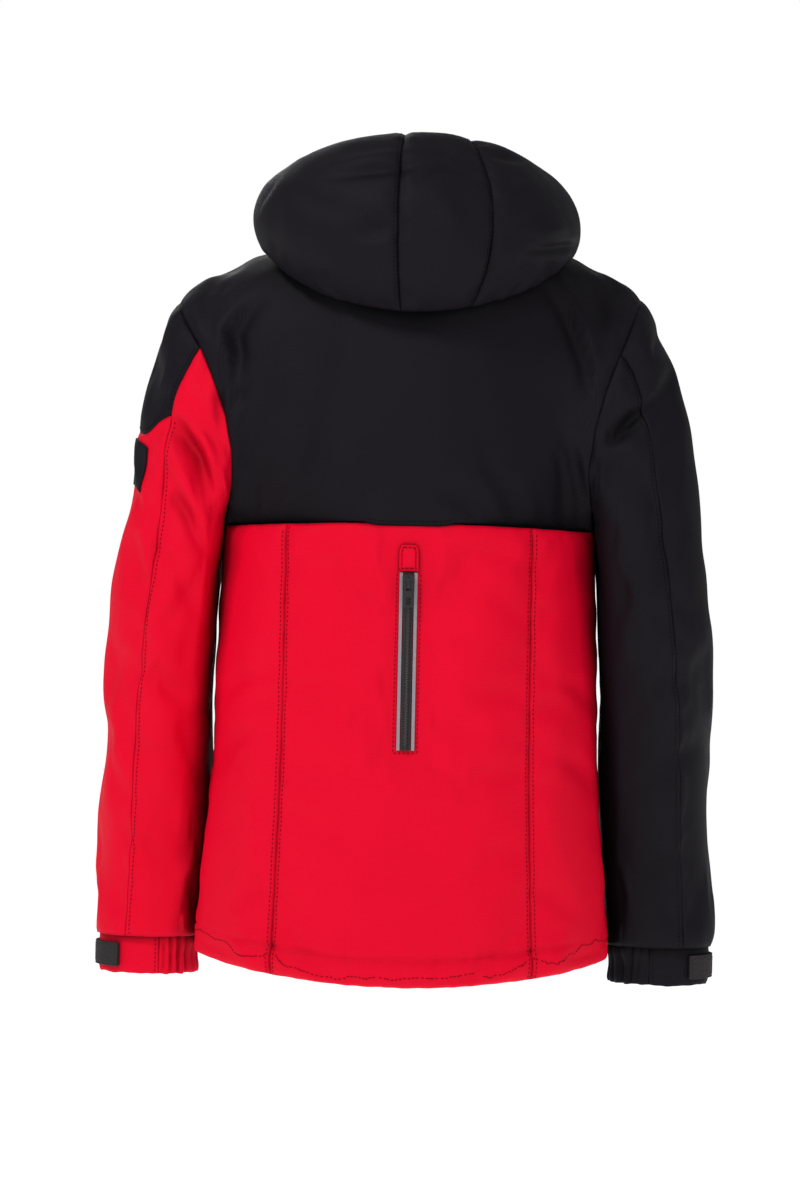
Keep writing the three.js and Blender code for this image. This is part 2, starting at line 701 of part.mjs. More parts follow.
// ---- Zips ----
// A slider with its bridge, in its own frame: +Z along the zip towards its closed end, -Y outwards.
const sliderBase = tapeThickness + coilHeight + 2 * clearance;
function sliderBody(k) {
  const plate = boxAt(9 * k, 3, 14 * k, 0, -sliderBase - 1.5, 0);
  const foot = (z) => boxAt(2.4 * k, 3.4, 1.6 * k, 0, -sliderBase - 4.4, z);
  const bridge = boxAt(2.4 * k, 1.2, 9 * k, 0, -sliderBase - 6.4, 0);
  return joined([plate, foot(3.7 * k), foot(-3.7 * k), bridge]);
}
const pullPivot = (k) => vec(0, -sliderBase - 4.4, -1.7 * k);
// The pull hangs from a cross bar through the bridge, and its ring is a frame round a slot.
function sliderPull(k) {
  const bar = new THREE.CylinderGeometry(hingeRadius, hingeRadius, 7 * k, 10).rotateZ(rad(90));
  const arm = (x) => boxAt(1.4 * k, 1.5, 8 * k, x * k, 0, -3.6 * k);
  const tongue = boxAt(8 * k, 1.5, 16 * k, 0, 0, -15 * k);
  const slot = boxAt(3.6 * k, 4, 7 * k, 0, 0, -17 * k);
  return joined([bar, arm(2.7), arm(-2.7), tongue], [slot]);
}
function addSlider(name, at, up, outward, k) {
  const z = up.clone().normalize();
  const y = outward.clone().addScaledVector(z, -outward.dot(z)).normalize().negate();
  const x = y.clone().cross(z);
  const frame = new THREE.Group();
  frame.applyMatrix4(new THREE.Matrix4().makeBasis(x, y, z).setPosition(at));
  jacket.add(frame);
  add(name + "_slider", sliderBody(k), metal, frame);
  const pull = pullPivot(k);
  add(name + "_pull", sliderPull(k).translate(pull.x, pull.y, pull.z), metal, frame);
}

// A zip sewn on the face of the torso: x and drop give its closed end, slant its sideways run.
function facePoint(face, x, drop) {
  const phi = Math.asin(x / halfWidthBelowNape(drop));
  return torso(face > 0 ? phi : halfTurn - phi, -drop);
}
function faceStrip(face, top, length, slant, [from, to], depths, rows = 6) {
  const across = to - from > 5 ? 2 : 1;
  return panel({
    point: (x, l) => facePoint(face, top.x + x + slant * l, top.drop + l),
    us: steps(from, to, across),
    vs: steps(0, length, rows),
    inward: intoTorso,
    top: depths[0],
    bottom: depths[1],
  });
}
function pocketZip(name, face, top, length, slant) {
  const tapeDepth = [-tapeThickness - clearance, -clearance];
  const tape = faceStrip(face, top, length, slant, [-tapeHalfWidth, tapeHalfWidth], tapeDepth);
  const ridge = [-tapeThickness - coilHeight - clearance, -clearance - 0.3];
  const teeth = faceStrip(face, top, length, slant, [-coilWidth / 2, coilWidth / 2], ridge);
  add(name + "_tape", joined([tape, teeth]), coil);
  const end = facePoint(face, top.x, top.drop);
  const foot = facePoint(face, top.x + slant * length, top.drop + length);
  const up = end.clone().sub(foot).normalize();
  const at = end.clone().addScaledVector(up, -sliderInset);
  addSlider(name, at, up, intoTorso(at).negate(), 1);
}
const sliderInset = 9;

const backZipTop = { x: 0, drop: backZipDrop };
pocketZip("back_zip", 1, backZipTop, backZipLength, 0);
for (const [side, sign] of sides) {
  const from = sign > 0 ? tapeHalfWidth + clearance : -tapeHalfWidth - clearance - stripWidth;
  const edges = [from, from + stripWidth];
  const strip = faceStrip(1, backZipTop, backZipLength, 0, edges, [-1.6, -clearance]);
  add("reflective_strip_" + side, strip, reflective);
}
const garageTop = { x: 0, drop: backZipDrop - garageHeight - clearance };
const garage = faceStrip(1, garageTop, garageHeight, 0, [-10, 10], [-2, -clearance], 2);
add("back_zip_garage", garage, red);
const bagCloth = 2; // both layers of a pocket bag
const bagTop = liningDepth.bottom + 2 * clearance;
const bagDepth = { top: bagTop, bottom: bagTop + bagCloth };
const backBag = lowerPanel(1, mirrored(neckU), { ...bagDepth, vs: lowerRows.slice(4, 8) });
add("back_pocket_bag", backBag, liningBlack);

for (const [side, sign] of sides) {
  const top = { x: sign * (zipHalfWidth + handZipOffset), drop: handZipDrop };
  pocketZip("hand_zip_" + side, -1, top, handZipLength, sign * handZipSlant);
  const us = frontU.slice(3, 7).map((u) => u * sign).sort((a, b) => a - b);
  const bag = lowerPanel(-1, us, { ...bagDepth, vs: lowerRows.slice(2, 6) });
  add("hand_pocket_bag_" + side, bag, liningBlack);
}

// The front zip runs straight from the hem to the top of the collar, in a frame that leans with it.
const zipFoot = vec(0, -frontDepth(-frontLength), -frontLength);
const zipHead = collar(halfTurn, 1).setX(0);
const zipUp = zipHead.clone().sub(zipFoot);
const zipLength = zipUp.length();
const zipFrame = new THREE.Group();
zipFrame.position.copy(zipFoot);
zipFrame.rotation.x = -Math.atan(zipUp.y / zipUp.z);
jacket.add(zipFrame);
for (const [side, sign] of sides) {
  const tape = boxAt(zipHalfWidth - 2 * clearance, tapeThickness, zipLength, 0, 0, zipLength / 2);
  tape.translate((sign * zipHalfWidth) / 2, tapeThickness / 2, 0);
  const teeth = boxAt(coilWidth, coilHeight + 0.6, zipLength, 0, 0, zipLength / 2);
  teeth.translate(sign * (clearance + coilWidth / 2), 0.6 - (coilHeight + 0.6) / 2, 0);
  add("front_zip_" + side, joined([tape, teeth]), coil, zipFrame);
}
const sliderDrop = 12; // from the top of the collar
const frontSliderAt = zipHead.clone().addScaledVector(zipUp, -sliderDrop / zipLength);
const frontSliderOut = vec(0, -zipUp.z, zipUp.y).normalize();
frontSliderAt.addScaledVector(frontSliderOut, -tapeThickness);
addSlider("front_zip", frontSliderAt, zipUp, frontSliderOut, 1.3);

// Storm flap behind the front zip, and the chin guard over its top end.
const flapWidth = 40;
const flapCloth = 2;
const flapRise = 2; // of its lower end over the hem
const flapLength = frontLength - neckFrontDrop - 45; // it stops short of the collar
const flapY = bagTop + flapCloth / 2;
const flap = boxAt(flapWidth, flapCloth, flapLength, 0, flapY, flapLength / 2 + flapRise);
add("storm_flap", flap, liningBlack, zipFrame);
const guardWidth = 34;
const guardHeight = 42;
const guardY = 8.9; // behind the zip, clear of the collar's lining
const guard = boxAt(guardWidth, flapCloth, guardHeight, 0, guardY, zipLength - guardHeight / 2);
add("chin_guard", guard, liningBlack, zipFrame);

export default jacket;
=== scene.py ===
"""Insulated ski jacket in red and black, seen from the back with its hood down.

Metres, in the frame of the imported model: +Z is up, the chest faces -Y, and the wearer's left is +X.
"""

import json
import math

import bmesh
import bpy
from mathutils import Matrix, Vector, kdtree, noise
from mathutils.bvhtree import BVHTree


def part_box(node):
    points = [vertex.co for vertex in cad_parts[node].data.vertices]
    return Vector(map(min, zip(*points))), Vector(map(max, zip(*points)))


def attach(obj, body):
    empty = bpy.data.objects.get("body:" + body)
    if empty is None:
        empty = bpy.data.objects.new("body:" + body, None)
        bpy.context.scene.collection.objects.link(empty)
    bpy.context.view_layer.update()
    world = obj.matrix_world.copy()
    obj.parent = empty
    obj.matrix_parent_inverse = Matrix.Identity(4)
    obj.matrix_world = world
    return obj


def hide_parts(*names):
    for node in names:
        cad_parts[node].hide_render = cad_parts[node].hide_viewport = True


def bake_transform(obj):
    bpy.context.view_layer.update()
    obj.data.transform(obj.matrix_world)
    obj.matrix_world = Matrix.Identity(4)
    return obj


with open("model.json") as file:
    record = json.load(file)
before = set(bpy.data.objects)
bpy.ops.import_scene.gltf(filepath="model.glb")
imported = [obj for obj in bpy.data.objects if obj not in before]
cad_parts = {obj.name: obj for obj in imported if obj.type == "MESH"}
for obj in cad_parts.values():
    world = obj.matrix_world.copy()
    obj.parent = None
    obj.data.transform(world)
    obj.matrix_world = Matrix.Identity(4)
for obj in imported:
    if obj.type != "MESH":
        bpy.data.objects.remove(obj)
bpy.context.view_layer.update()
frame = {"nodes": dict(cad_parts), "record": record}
nodes = frame["nodes"]

# ---------------------------------------------------------------------------
# Camera: a long lens at chest height behind the jacket, rolled a little so that the jacket leans.
view_middle = Vector((0.008, 0.0, -0.357))
view_distance = 3.2
view_height = 1.224
sensor = 36
camera = bpy.data.objects.new("camera", bpy.data.cameras.new("camera"))
bpy.context.collection.objects.link(camera)
bpy.context.scene.camera = camera
camera.data.sensor_width = sensor
camera.data.lens = sensor * view_distance / view_height
camera.data.clip_end = 30
level = Matrix.Rotation(math.pi, 4, "Z") @ Matrix.Rotation(math.pi / 2, 4, "X")
roll = Matrix.Rotation(math.radians(1.15), 4, "Z")
camera.matrix_world = Matrix.Translation(view_middle + Vector((0, view_distance, 0))) @ level @ roll

# ---------------------------------------------------------------------------
# Studio: a pale floor a little below the cuffs, an even white room, and three large soft lamps.


def srgb(code):
    """A colour written as sRGB hex, turned to the linear values that shaders take."""
    parts = [int(code[i : i + 2], 16) / 255 for i in (1, 3, 5)]
    return tuple(c / 12.92 if c <= 0.04045 else ((c + 0.055) / 1.055) ** 2.4 for c in parts) + (1.0,)


def add_node(tree, kind, settings=None, inputs=None):
    """Adds a shader node, sets its settings, and gives each input its value or its link."""
    made = tree.nodes.new("ShaderNode" + kind)
    for name, value in (settings or {}).items():
        setattr(made, name, value)
    for socket, value in (inputs or {}).items():
        if isinstance(value, bpy.types.NodeSocket):
            tree.links.new(value, made.inputs[socket])
        else:
            made.inputs[socket].default_value = value
    return made


def new_material(name):
    """An empty material with a Principled shader on its output."""
    material = bpy.data.materials.new(name)
    material.use_nodes = True
    return material, material.node_tree, material.node_tree.nodes["Principled BSDF"]


def roughen(tree, shader, strength, distance, height):
    """Raises a shader's surface by a height, up to a distance in metres."""
    bump = add_node(tree, "Bump", None, {"Strength": strength, "Distance": distance, "Height": height})
    tree.links.new(bump.outputs["Normal"], shader.inputs["Normal"])


def two_tone(tree, shader, share, dark, colour):
    """Colours a shader between two shades."""
    shades = {0: share, 6: srgb(dark), 7: srgb(colour)}
    dye = add_node(tree, "Mix", {"data_type": "RGBA"}, shades)
    tree.links.new(dye.outputs[2], shader.inputs["Base Color"])


def put(bm, places):
    """Moves each vertex to its place."""
    for vert, place in zip(bm.verts, places):
        vert.co = place


def link(name, bm):
    """Makes a bmesh into an object of its own and frees the bmesh."""
    mesh = bpy.data.meshes.new(name)
    bm.to_mesh(mesh)
    bm.free()
    made = bpy.data.objects.new(name, mesh)
    bpy.context.collection.objects.link(made)
    return made


scene = bpy.context.scene
scene.view_settings.view_transform = "Standard"
world = bpy.data.worlds.new("white_room")
scene.world = world
world.use_nodes = True
room_light = 0.30  # the room is pure white to the eye, and lights the jacket less than that
seen = add_node(world.node_tree, "LightPath").outputs["Is Camera Ray"]
strength = add_node(
    world.node_tree, "MapRange", None, {"Value": seen, "To Min": room_light, "To Max": 1.0}
)
backdrop = world.node_tree.nodes["Background"]
backdrop.inputs["Color"].default_value = (1, 1, 1, 1)
world.node_tree.links.new(strength.outputs["Result"], backdrop.inputs["Strength"])

floor_bm = bmesh.new()
bmesh.ops.create_grid(floor_bm, x_segments=1, y_segments=1, size=12)
bmesh.ops.translate(floor_bm, verts=floor_bm.verts, vec=(0, 0, -1.05))
floor = link("floor", floor_bm)
floor_paint, _, floor_shader = new_material("white_floor_paint")
floor_shader.inputs["Base Color"].default_value = srgb("#9a9a9a")
floor_shader.inputs["Roughness"].default_value = 0.9
floor_shader.inputs["Emission Color"].default_value = (1, 1, 1, 1)
floor_shader.inputs["Emission Strength"].default_value = 0.9
floor.data.materials.append(floor_paint)


def soft_lamp(name, place, size, power):
    """A square soft lamp that looks at the middle of the jacket."""
    lamp = bpy.data.lights.new(name, "AREA")
    lamp.size = size
    lamp.energy = power
    holder = bpy.data.objects.new(name, lamp)
    bpy.context.collection.objects.link(holder)
    aim = (view_middle - Vector(place)).to_track_quat("-Z", "Y")
    holder.matrix_world = Matrix.Translation(place) @ aim.to_matrix().to_4x4()


soft_lamp("key_lamp", (1.5, 1.9, 2.2), 0.6, 52)
soft_lamp("fill_lamp", (-1.2, 2.9, 0.6), 1.4, 14)
soft_lamp("front_lamp", (0.6, -2.6, 1.3), 1.6, 24)

# ---------------------------------------------------------------------------
# Cloth: woven polyester, dyed red or black, with padding behind it. Matt, with a soft sheen at
# grazing angles. The real threads are 0.3 mm apart; they are drawn 1.4 mm apart so that they show.
thread_pitch = 0.0014


# How far, in metres, the painted shade in the cloth's colour looks for nearby surfaces in folds and seams.
painted_shade_reach = 0.03


def woven(name, colour, dark, roughness, sheen, pitch=thread_pitch):
    """A plain-woven cloth whose threads follow the piece's own cloth UV map, in metres.

    Ambient occlusion darkens its colour in folds, along seams and where parts lie close: painted shade."""
    material, tree, shader = new_material(name)
    uv = add_node(tree, "UVMap", {"uv_map": "cloth"}).outputs["UV"]
    waves_per_metre = math.pi / 10 / pitch
    settings = {"wave_type": "BANDS", "wave_profile": "SIN"}
    scaled = {"Vector": uv, "Scale": waves_per_metre}
    warp = add_node(tree, "TexWave", {**settings, "bands_direction": "X"}, scaled)
    weft = add_node(tree, "TexWave", {**settings, "bands_direction": "Y"}, scaled)
    over = add_node(tree, "Math", {"operation": "MULTIPLY"}, {0: warp.outputs["Fac"], 1: weft.outputs["Fac"]})
    slub = add_node(tree, "TexNoise", None, {"Vector": uv, "Scale": 420.0, "Detail": 3.0, "Roughness": 0.6})
    cloudy = add_node(tree, "TexNoise", None, {"Vector": uv, "Scale": 14.0, "Detail": 3.0})
    added = {"operation": "MULTIPLY_ADD"}
    mixed = add_node(tree, "Math", added, {0: slub.outputs["Fac"], 1: 0.7, 2: over.outputs[0]})
    tone = add_node(tree, "Math", added, {0: cloudy.outputs["Fac"], 1: 0.5, 2: mixed.outputs[0]})
    span = {"Value": tone.outputs[0], "From Min": 0.35, "From Max": 1.35, "To Min": 0.0, "To Max": 1.0}
    spread = add_node(tree, "MapRange", None, span)
    dye = add_node(
        tree,
        "Mix",
        {"data_type": "RGBA"},
        {"Factor": spread.outputs["Result"], 6: srgb(dark), 7: srgb(colour)},
    )
    # Painted shade: ambient occlusion darkens the dye in folds, along seams and in gaps between parts.
    painted_fold_shade = add_node(tree, "AmbientOcclusion", {"samples": 8}, {"Distance": painted_shade_reach})
    painted_shade_dye = add_node(
        tree,
        "Mix",
        {"data_type": "RGBA", "blend_type": "MULTIPLY"},
        {"Factor": 0.9, 6: dye.outputs[2], 7: painted_fold_shade.outputs["Color"]},
    )
    tree.links.new(painted_shade_dye.outputs[2], shader.inputs["Base Color"])
    roughen(tree, shader, 0.35, 0.0004, mixed.outputs[0])
    shader.inputs["Roughness"].default_value = roughness
    shader.inputs["Specular IOR Level"].default_value = 0.09
    shader.inputs["Sheen Weight"].default_value = sheen
    shader.inputs["Sheen Roughness"].default_value = 0.45
    shader.inputs["Sheen Tint"].default_value = srgb(colour)
    return material


red_cloth = woven("red_woven_polyester", "#f2002e", "#e20027", 0.62, 0.02)
black_cloth = woven("black_woven_polyester", "#1b181f", "#100e13", 0.6, 0.03)
lining_cloth = woven("black_taffeta", "#1b1a1d", "#131215", 0.42, 0.10, 0.0008)

# ---------------------------------------------------------------------------
# The shell's form: the outer faces of the body and sleeve panels, welded at their seams into one
# smooth surface, so that folds run on across a seam as they do in sewn cloth.
wall = 0.0066  # longer than a panel is thick, and shorter than any of its squares
weld = 0.0024


def outer_faces(name, inside):
    """The outer faces of a CAD panel as quads. inside(z) is a point on its inner side at height z."""
    bm = bmesh.new()
    bm.from_mesh(nodes[name].data)
    bmesh.ops.remove_doubles(bm, verts=bm.verts, dist=0.00002)
    walls = [f for f in bm.faces if min(e.calc_length() for e in f.edges) < wall]
    bmesh.ops.delete(bm, geom=walls, context="FACES")
    left = set(bm.faces)
    islands = []
    while left:
        island = set()
        front = [left.pop()]
        while front:
            face = front.pop()
            island.add(face)
            for near in {g for e in face.edges for g in e.link_faces} & left:
                left.discard(near)
                front.append(near)
        islands.append(island)

    def flux(island):
        total = 0.0
        for face in island:
            centre = face.calc_center_median()
            total += face.calc_area() * face.normal.dot(centre - inside(centre.z))
        return total

    best = max(islands, key=flux)
    bmesh.ops.delete(bm, geom=[f for f in bm.faces if f not in best], context="FACES")
    bmesh.ops.join_triangles(
        bm, faces=bm.faces, angle_face_threshold=math.pi, angle_shape_threshold=math.pi
    )
    return bm


def welded(names, inside):
    """One surface from the outer faces of several panels; a face's material is its panel's number."""
    whole = bmesh.new()
    for number, name in enumerate(names):
        part = outer_faces(name, inside[name])
        for face in part.faces:
            face.material_index = number
        mesh = bpy.data.meshes.new("part")
        part.to_mesh(mesh)
        part.free()
        whole.from_mesh(mesh)
        bpy.data.meshes.remove(mesh)
    bmesh.ops.remove_doubles(whole, verts=whole.verts, dist=weld)
    return whole


def smoothed(bm, levels):
    """The surface after so many rounds of subdivision."""
    rough = link("rough", bm)
    modifier = rough.modifiers.new("smooth", "SUBSURF")
    modifier.levels = modifier.render_levels = levels
    modifier.boundary_smooth = "PRESERVE_CORNERS"
    mesh = bpy.data.meshes.new_from_object(rough.evaluated_get(bpy.context.evaluated_depsgraph_get()))
    result = bmesh.new()
    result.from_mesh(mesh)
    bpy.data.objects.remove(rough)
    return result


body_names = [
    "back_yoke",
    "back_centre_panel",
    "back_side_panel_left",
    "back_side_panel_right",
    "front_yoke_left",
    "front_yoke_right",
    "front_panel_left",
    "front_panel_right",
]
sleeve_names = {
    "left": ["sleeve_left_under", "sleeve_left_shoulder", "sleeve_left_top"],
    "right": ["sleeve_right_under", "sleeve_right_top"],
}


def middle_of(names):
    """A function that gives the middle line of the named nodes, at any height."""
    corners = [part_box(name) for name in names]
    low = Vector([min(c[0][i] for c in corners) for i in range(3)])
    high = Vector([max(c[1][i] for c in corners) for i in range(3)])
    centre = (low + high) / 2
    return lambda z: Vector((centre.x, centre.y, z))


body_axis = middle_of(body_names)
sleeve_axis = {side: middle_of(names) for side, names in sleeve_names.items()}
shell_names = body_names + sleeve_names["left"] + sleeve_names["right"]
inside_of = {name: body_axis for name in body_names}
for side, names in sleeve_names.items():
    inside_of.update({name: sleeve_axis[side] for name in names})
shell_bm = welded(shell_names, inside_of)

# The black shoulder panel's lower edge runs straight down to a point, so the cloth near its corners
# is slid outward along the sleeve's own surface.
skin = BVHTree.FromBMesh(shell_bm)
slid = []
for vert in shell_bm.verts:
    p = vert.co
    if p.x > 0.19:
        share = math.exp(-(((p.z + 0.176) / 0.026) ** 2) - ((abs(p.y) - 0.062) / 0.026) ** 2)
        raised = 0.008 * share * math.exp(-(((p.z + 0.168) / 0.016) ** 2))
        wanted = p + Vector((0.029, -math.copysign(0.021, p.y), 0)) * share + Vector((0, 0, raised))
        slid.append((vert, skin.find_nearest(wanted)[0]))
for vert, place in slid:
    vert.co = place
shell_bm = smoothed(shell_bm, 2)


def seam_tree(bm, chosen):
    """A search tree of the points of the edges that chosen(edge) picks."""
    points = {v for e in bm.edges if chosen(e) for v in e.verts}
    tree = kdtree.KDTree(len(points))
    for number, vert in enumerate(sorted(points, key=lambda v: v.index)):
        tree.insert(vert.co, number)
    tree.balance()
    return tree


def is_seam(edge):
    return edge.is_boundary or len({f.material_index for f in edge.link_faces}) > 1


trims = ["back_zip_tape", "hand_zip_left_tape", "hand_zip_right_tape", "back_zip_garage"]
trim_boxes = [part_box(name) for name in trims]


def calm(p):
    """How much the cloth may move: nothing at a pocket zip, all of it 22 mm away."""
    share = 1.0
    for low, high in trim_boxes:
        away = Vector([max(low[i] - p[i], 0, p[i] - high[i]) for i in range(3)]).length
        t = min(1, max(0, (away - 0.005) / 0.017))
        share = min(share, t * t * (3 - 2 * t))
    return share


def soft_step(value, low, high):
    """0 below low and 1 above high, with a smooth change between."""
    t = min(1.0, max(0.0, (value - low) / (high - low)))
    return t * t * (3 - 2 * t)


def beside_arm(p, n):
    """1 where the sleeve and the side of the body lie against each other, so neither may swell."""
    facing = soft_step(abs(n.x), 0.5, 0.85)
    return facing * soft_step(-p.z, 0.18, 0.26) * (1 - soft_step(abs(p.x), 0.235, 0.265))


def puffed(bm, frames, pressure, growth, cap):
    """Blows the cloth up a little between its seams, which stay where they are."""
    rough = link("rough", bm)
    held = rough.vertex_groups.new(name="seams")
    again = bmesh.new()
    again.from_mesh(rough.data)
    still = [v.index for v in again.verts if any(is_seam(e) for e in v.link_edges) or calm(v.co) < 0.9]
    held.add(still, 1.0, "REPLACE")
    again.free()
    cloth = rough.modifiers.new("cloth", "CLOTH")
    cloth.settings.quality = 5
    cloth.settings.mass = 0.25
    cloth.settings.bending_stiffness = 0.4
    cloth.settings.tension_stiffness = cloth.settings.compression_stiffness = 12
    cloth.settings.shear_stiffness = 4
    cloth.settings.use_pressure = True
    cloth.settings.uniform_pressure_force = pressure
    cloth.settings.shrink_min = -growth
    cloth.settings.vertex_group_mass = "seams"
    cloth.settings.effector_weights.gravity = 0
    cloth.collision_settings.use_collision = False
    cloth.point_cache.frame_end = frames
    for step in range(1, frames + 1):
        scene.frame_set(step)
    blown = rough.evaluated_get(bpy.context.evaluated_depsgraph_get()).data
    moved = [new.co - old.co for new, old in zip(blown.vertices, rough.data.vertices)]
    room = [cap - (cap - 0.0010) * beside_arm(v.co, v.normal) for v in rough.data.vertices]
    for vert, shift, most in zip(rough.data.vertices, moved, room):
        vert.co += shift * min(1, most / max(shift.length, 1e-9))
    result = bmesh.new()
    result.from_mesh(rough.data)
    bpy.data.objects.remove(rough)
    scene.frame_set(1)
    return result


shell_bm = puffed(shell_bm, 16, 2.5, 0.03, 0.005)
shell_bm = smoothed(shell_bm, 2)

# The jacket's folds, as soft valleys (below zero) and ridges. Each is a line of x and z points on
# the back (+1) or the front (-1), with its height and its half width. All in millimetres.
folds = [
    (1, [(146, -66), (168, -94), (168, -117), (178, -151)], -5.0, 9),
    (1, [(163, -58), (183, -92), (186, -118), (192, -150)], 3.0, 9),
    (1, [(183, -107), (189, -133), (191, -160), (190, -189)], -3.0, 6),
    (1, [(162, -144), (172, -160), (184, -177)], -2.5, 6),
    (1, [(88, -85), (96, -151), (110, -226), (114, -271)], -2.6, 16),
    (1, [(66, -151), (53, -207), (47, -245)], -1.6, 15),
    (1, [(-122, -40), (-145, -70), (-158, -95), (-169, -119), (-178, -158)], -4.0, 8),
    (1, [(-138, -36), (-160, -68), (-174, -98), (-184, -124)], 2.5, 8),
    (1, [(-150, -188), (-162, -214), (-169, -252), (-170, -272)], -2.6, 7),
    (1, [(-146, -204), (-152, -228), (-154, -258)], -1.8, 6),
    (1, [(-70, -110), (-62, -170), (-72, -240)], -1.2, 18),
    (1, [(200, -470), (168, -440), (138, -432)], -1.8, 9),
    (1, [(204, -540), (170, -498), (140, -486)], -1.8, 10),
    (1, [(206, -610), (168, -560), (148, -500)], 1.4, 12),
    (1, [(-198, -470), (-170, -440), (-150, -436)], -1.6, 9),
    (1, [(-202, -560), (-176, -520), (-150, -506)], -1.6, 10),
    (1, [(120, -560), (60, -620), (20, -690)], 1.2, 22),
    (1, [(-120, -600), (-60, -560), (-10, -560)], -1.0, 24),
    (1, [(237, -184), (213, -217), (201, -250)], -8.0, 8),
    (1, [(226, -176), (204, -206), (194, -232)], 3.6, 7),
    (1, [(248, -205), (224, -240), (207, -280)], 5.0, 9),
    (1, [(240, -250), (222, -276), (206, -312)], -4.5, 7),
    (1, [(262, -300), (232, -330), (212, -372)], -3.0, 10),
    (1, [(282, -420), (250, -440), (216, -474)], -2.4, 11),
    (1, [(288, -500), (258, -516), (226, -520)], -2.2, 11),
    (1, [(284, -600), (262, -610), (236, -640)], -2.0, 10),
    (1, [(-194, -199), (-216, -178), (-238, -157)], -6.5, 8),
    (1, [(-200, -228), (-224, -204), (-246, -180)], 2.6, 10),
    (1, [(-214, -330), (-240, -310), (-262, -280)], -2.4, 12),
    (1, [(-226, -470), (-252, -440), (-282, -420)], -2.6, 12),
    (1, [(-232, -540), (-262, -520), (-288, -500)], -2.4, 11),
    (1, [(-240, -640), (-262, -620), (-288, -612)], -2.2, 10),
    (-1, [(146, -66), (168, -98), (176, -150)], -4.0, 9),
    (-1, [(-146, -66), (-168, -98), (-176, -150)], -4.0, 9),
    (-1, [(88, -85), (96, -151), (104, -240)], -2.2, 16),
    (-1, [(-84, -95), (-92, -151), (-108, -230)], -2.2, 16),
    (-1, [(200, -470), (168, -430), (138, -420)], -2.0, 10),
    (-1, [(-200, -480), (-168, -440), (-138, -430)], -2.0, 10),
    (-1, [(204, -580), (150, -540), (90, -560)], -1.8, 13),
    (-1, [(-204, -600), (-150, -550), (-90, -560)], -1.8, 13),
    (-1, [(260, -240), (232, -280), (206, -300)], -4.0, 10),
    (-1, [(-260, -240), (-232, -280), (-206, -300)], -4.0, 10),
    (-1, [(286, -430), (256, -450), (222, -480)], -3.0, 11),
    (-1, [(-286, -430), (-256, -450), (-222, -480)], -3.0, 11),
    (-1, [(288, -480), (262, -500), (236, -500)], -3.0, 9),
    (-1, [(-288, -480), (-262, -500), (-236, -500)], -3.0, 9),
]


fold_depth = 1.7  # how much deeper the folds are than the tables say


def along(point, line):
    """The distance from a point to a line of points, and how far along the line that is, from 0 to 1."""
    best, share = 1e9, 0.0
    for number in range(len(line) - 1):
        a, b = line[number], line[number + 1]
        step = b - a
        t = max(0.0, min(1.0, (point - a).dot(step) / step.length_squared))
        gap = (point - a - step * t).length
        if gap < best:
            best, share = gap, (number + t) / (len(line) - 1)
    return best, share


def fold_shape(table):
    """A function that gives the height of the folds in a table at a place, in metres."""
    drawn = []
    for face, line, height, width in table:
        points = [Vector(p) / 1000 for p in line]
        reach = 2.4 * width / 1000
        low = [min(p[i] for p in points) - reach for i in (0, 1)]
        high = [max(p[i] for p in points) + reach for i in (0, 1)]
        drawn.append((face, points, height * fold_depth / 1000, width / 1000, low, high))

    def height_at(p, normal):
        total = 0.0
        for face, points, height, width, low, high in drawn:
            if normal.y * face < 0.05 or not (low[0] < p.x < high[0] and low[1] < p.z < high[1]):
                continue
            gap, share = along(Vector((p.x, p.z)), points)
            taper = math.sin(math.pi * (0.12 + 0.76 * share)) ** 1.2
            total += height * taper * math.exp(-((gap / width) ** 2)) * min(1, normal.y * face * 3)
        return total

    return height_at


jacket_folds = fold_shape(folds)

hem_channel = 0.028  # from the hem to the stitch line that closes the channel
groove = 0.0010


def shoulder_rise(p):
    """Squares the shoulders up: padding lifts them, and the left one stands out a little more."""
    up, out = (0.003, 0.009) if p.x > 0 else (0.009, 0.003)
    share = soft_step(abs(p.x), 0.08, 0.15)
    out *= share * math.exp(-(((p.z + 0.080) / 0.042) ** 2))
    return Vector((math.copysign(out, p.x), 0, up * share * math.exp(-(((p.z + 0.030) / 0.045) ** 2))))




def is_hem(edge):
    low_down = max(v.co.z for v in edge.verts) < -0.705
    return edge.is_boundary and low_down and abs(edge.verts[0].co.x) < 0.225


hem_line = seam_tree(shell_bm, is_hem)
seam_line = seam_tree(shell_bm, is_seam)
shell_bm.normal_update()
places = []
for vert in shell_bm.verts:
    p, n = vert.co.copy(), vert.normal.copy()
    gap = seam_line.find(p)[2]
    free = 1 - math.exp(-gap / 0.02)
    lift = 0.0016 * free - groove * math.exp(-gap / 0.0028)
    lift += 0.0009 * noise.noise(p * 85) * math.exp(-((gap / 0.016) ** 2))
    lift += free * (0.0036 * noise.noise(p * 8 + Vector((3, 7, 1))) + 0.0016 * noise.noise(p * 21))
    lift += jacket_folds(p, n)
    hem_gap = hem_line.find(p)[2] if p.z < -0.66 and abs(p.x) < 0.225 else 1.0
    if hem_gap < 0.06:
        pleat = noise.noise(Vector((p.x * 75, p.y * 75, p.z * 9)))
        lift -= 0.0022 * math.exp(-(((hem_gap - hem_channel) / 0.0026) ** 2))
        lift += 0.0030 * math.exp(-(((hem_gap - hem_channel / 2) / 0.012) ** 2))
        lift += 0.0014 * pleat * math.exp(-(((hem_gap - hem_channel) / 0.017) ** 2))
    lift = lift * calm(p) - max(0, lift - 0.0006) * beside_arm(p, n)
    places.append(p + n * lift + shoulder_rise(p))
put(shell_bm, places)


def split(bm, names, prefix=""):
    """Cuts a welded surface into one object for each panel."""
    pieces = {}
    for number, name in enumerate(names):
        part = bm.copy()
        bmesh.ops.delete(part, geom=[f for f in part.faces if f.material_index != number], context="FACES")
        for face in part.faces:
            face.material_index = 0
            face.smooth = True
        pieces[name] = link(prefix + name, part)
    bm.free()
    return pieces


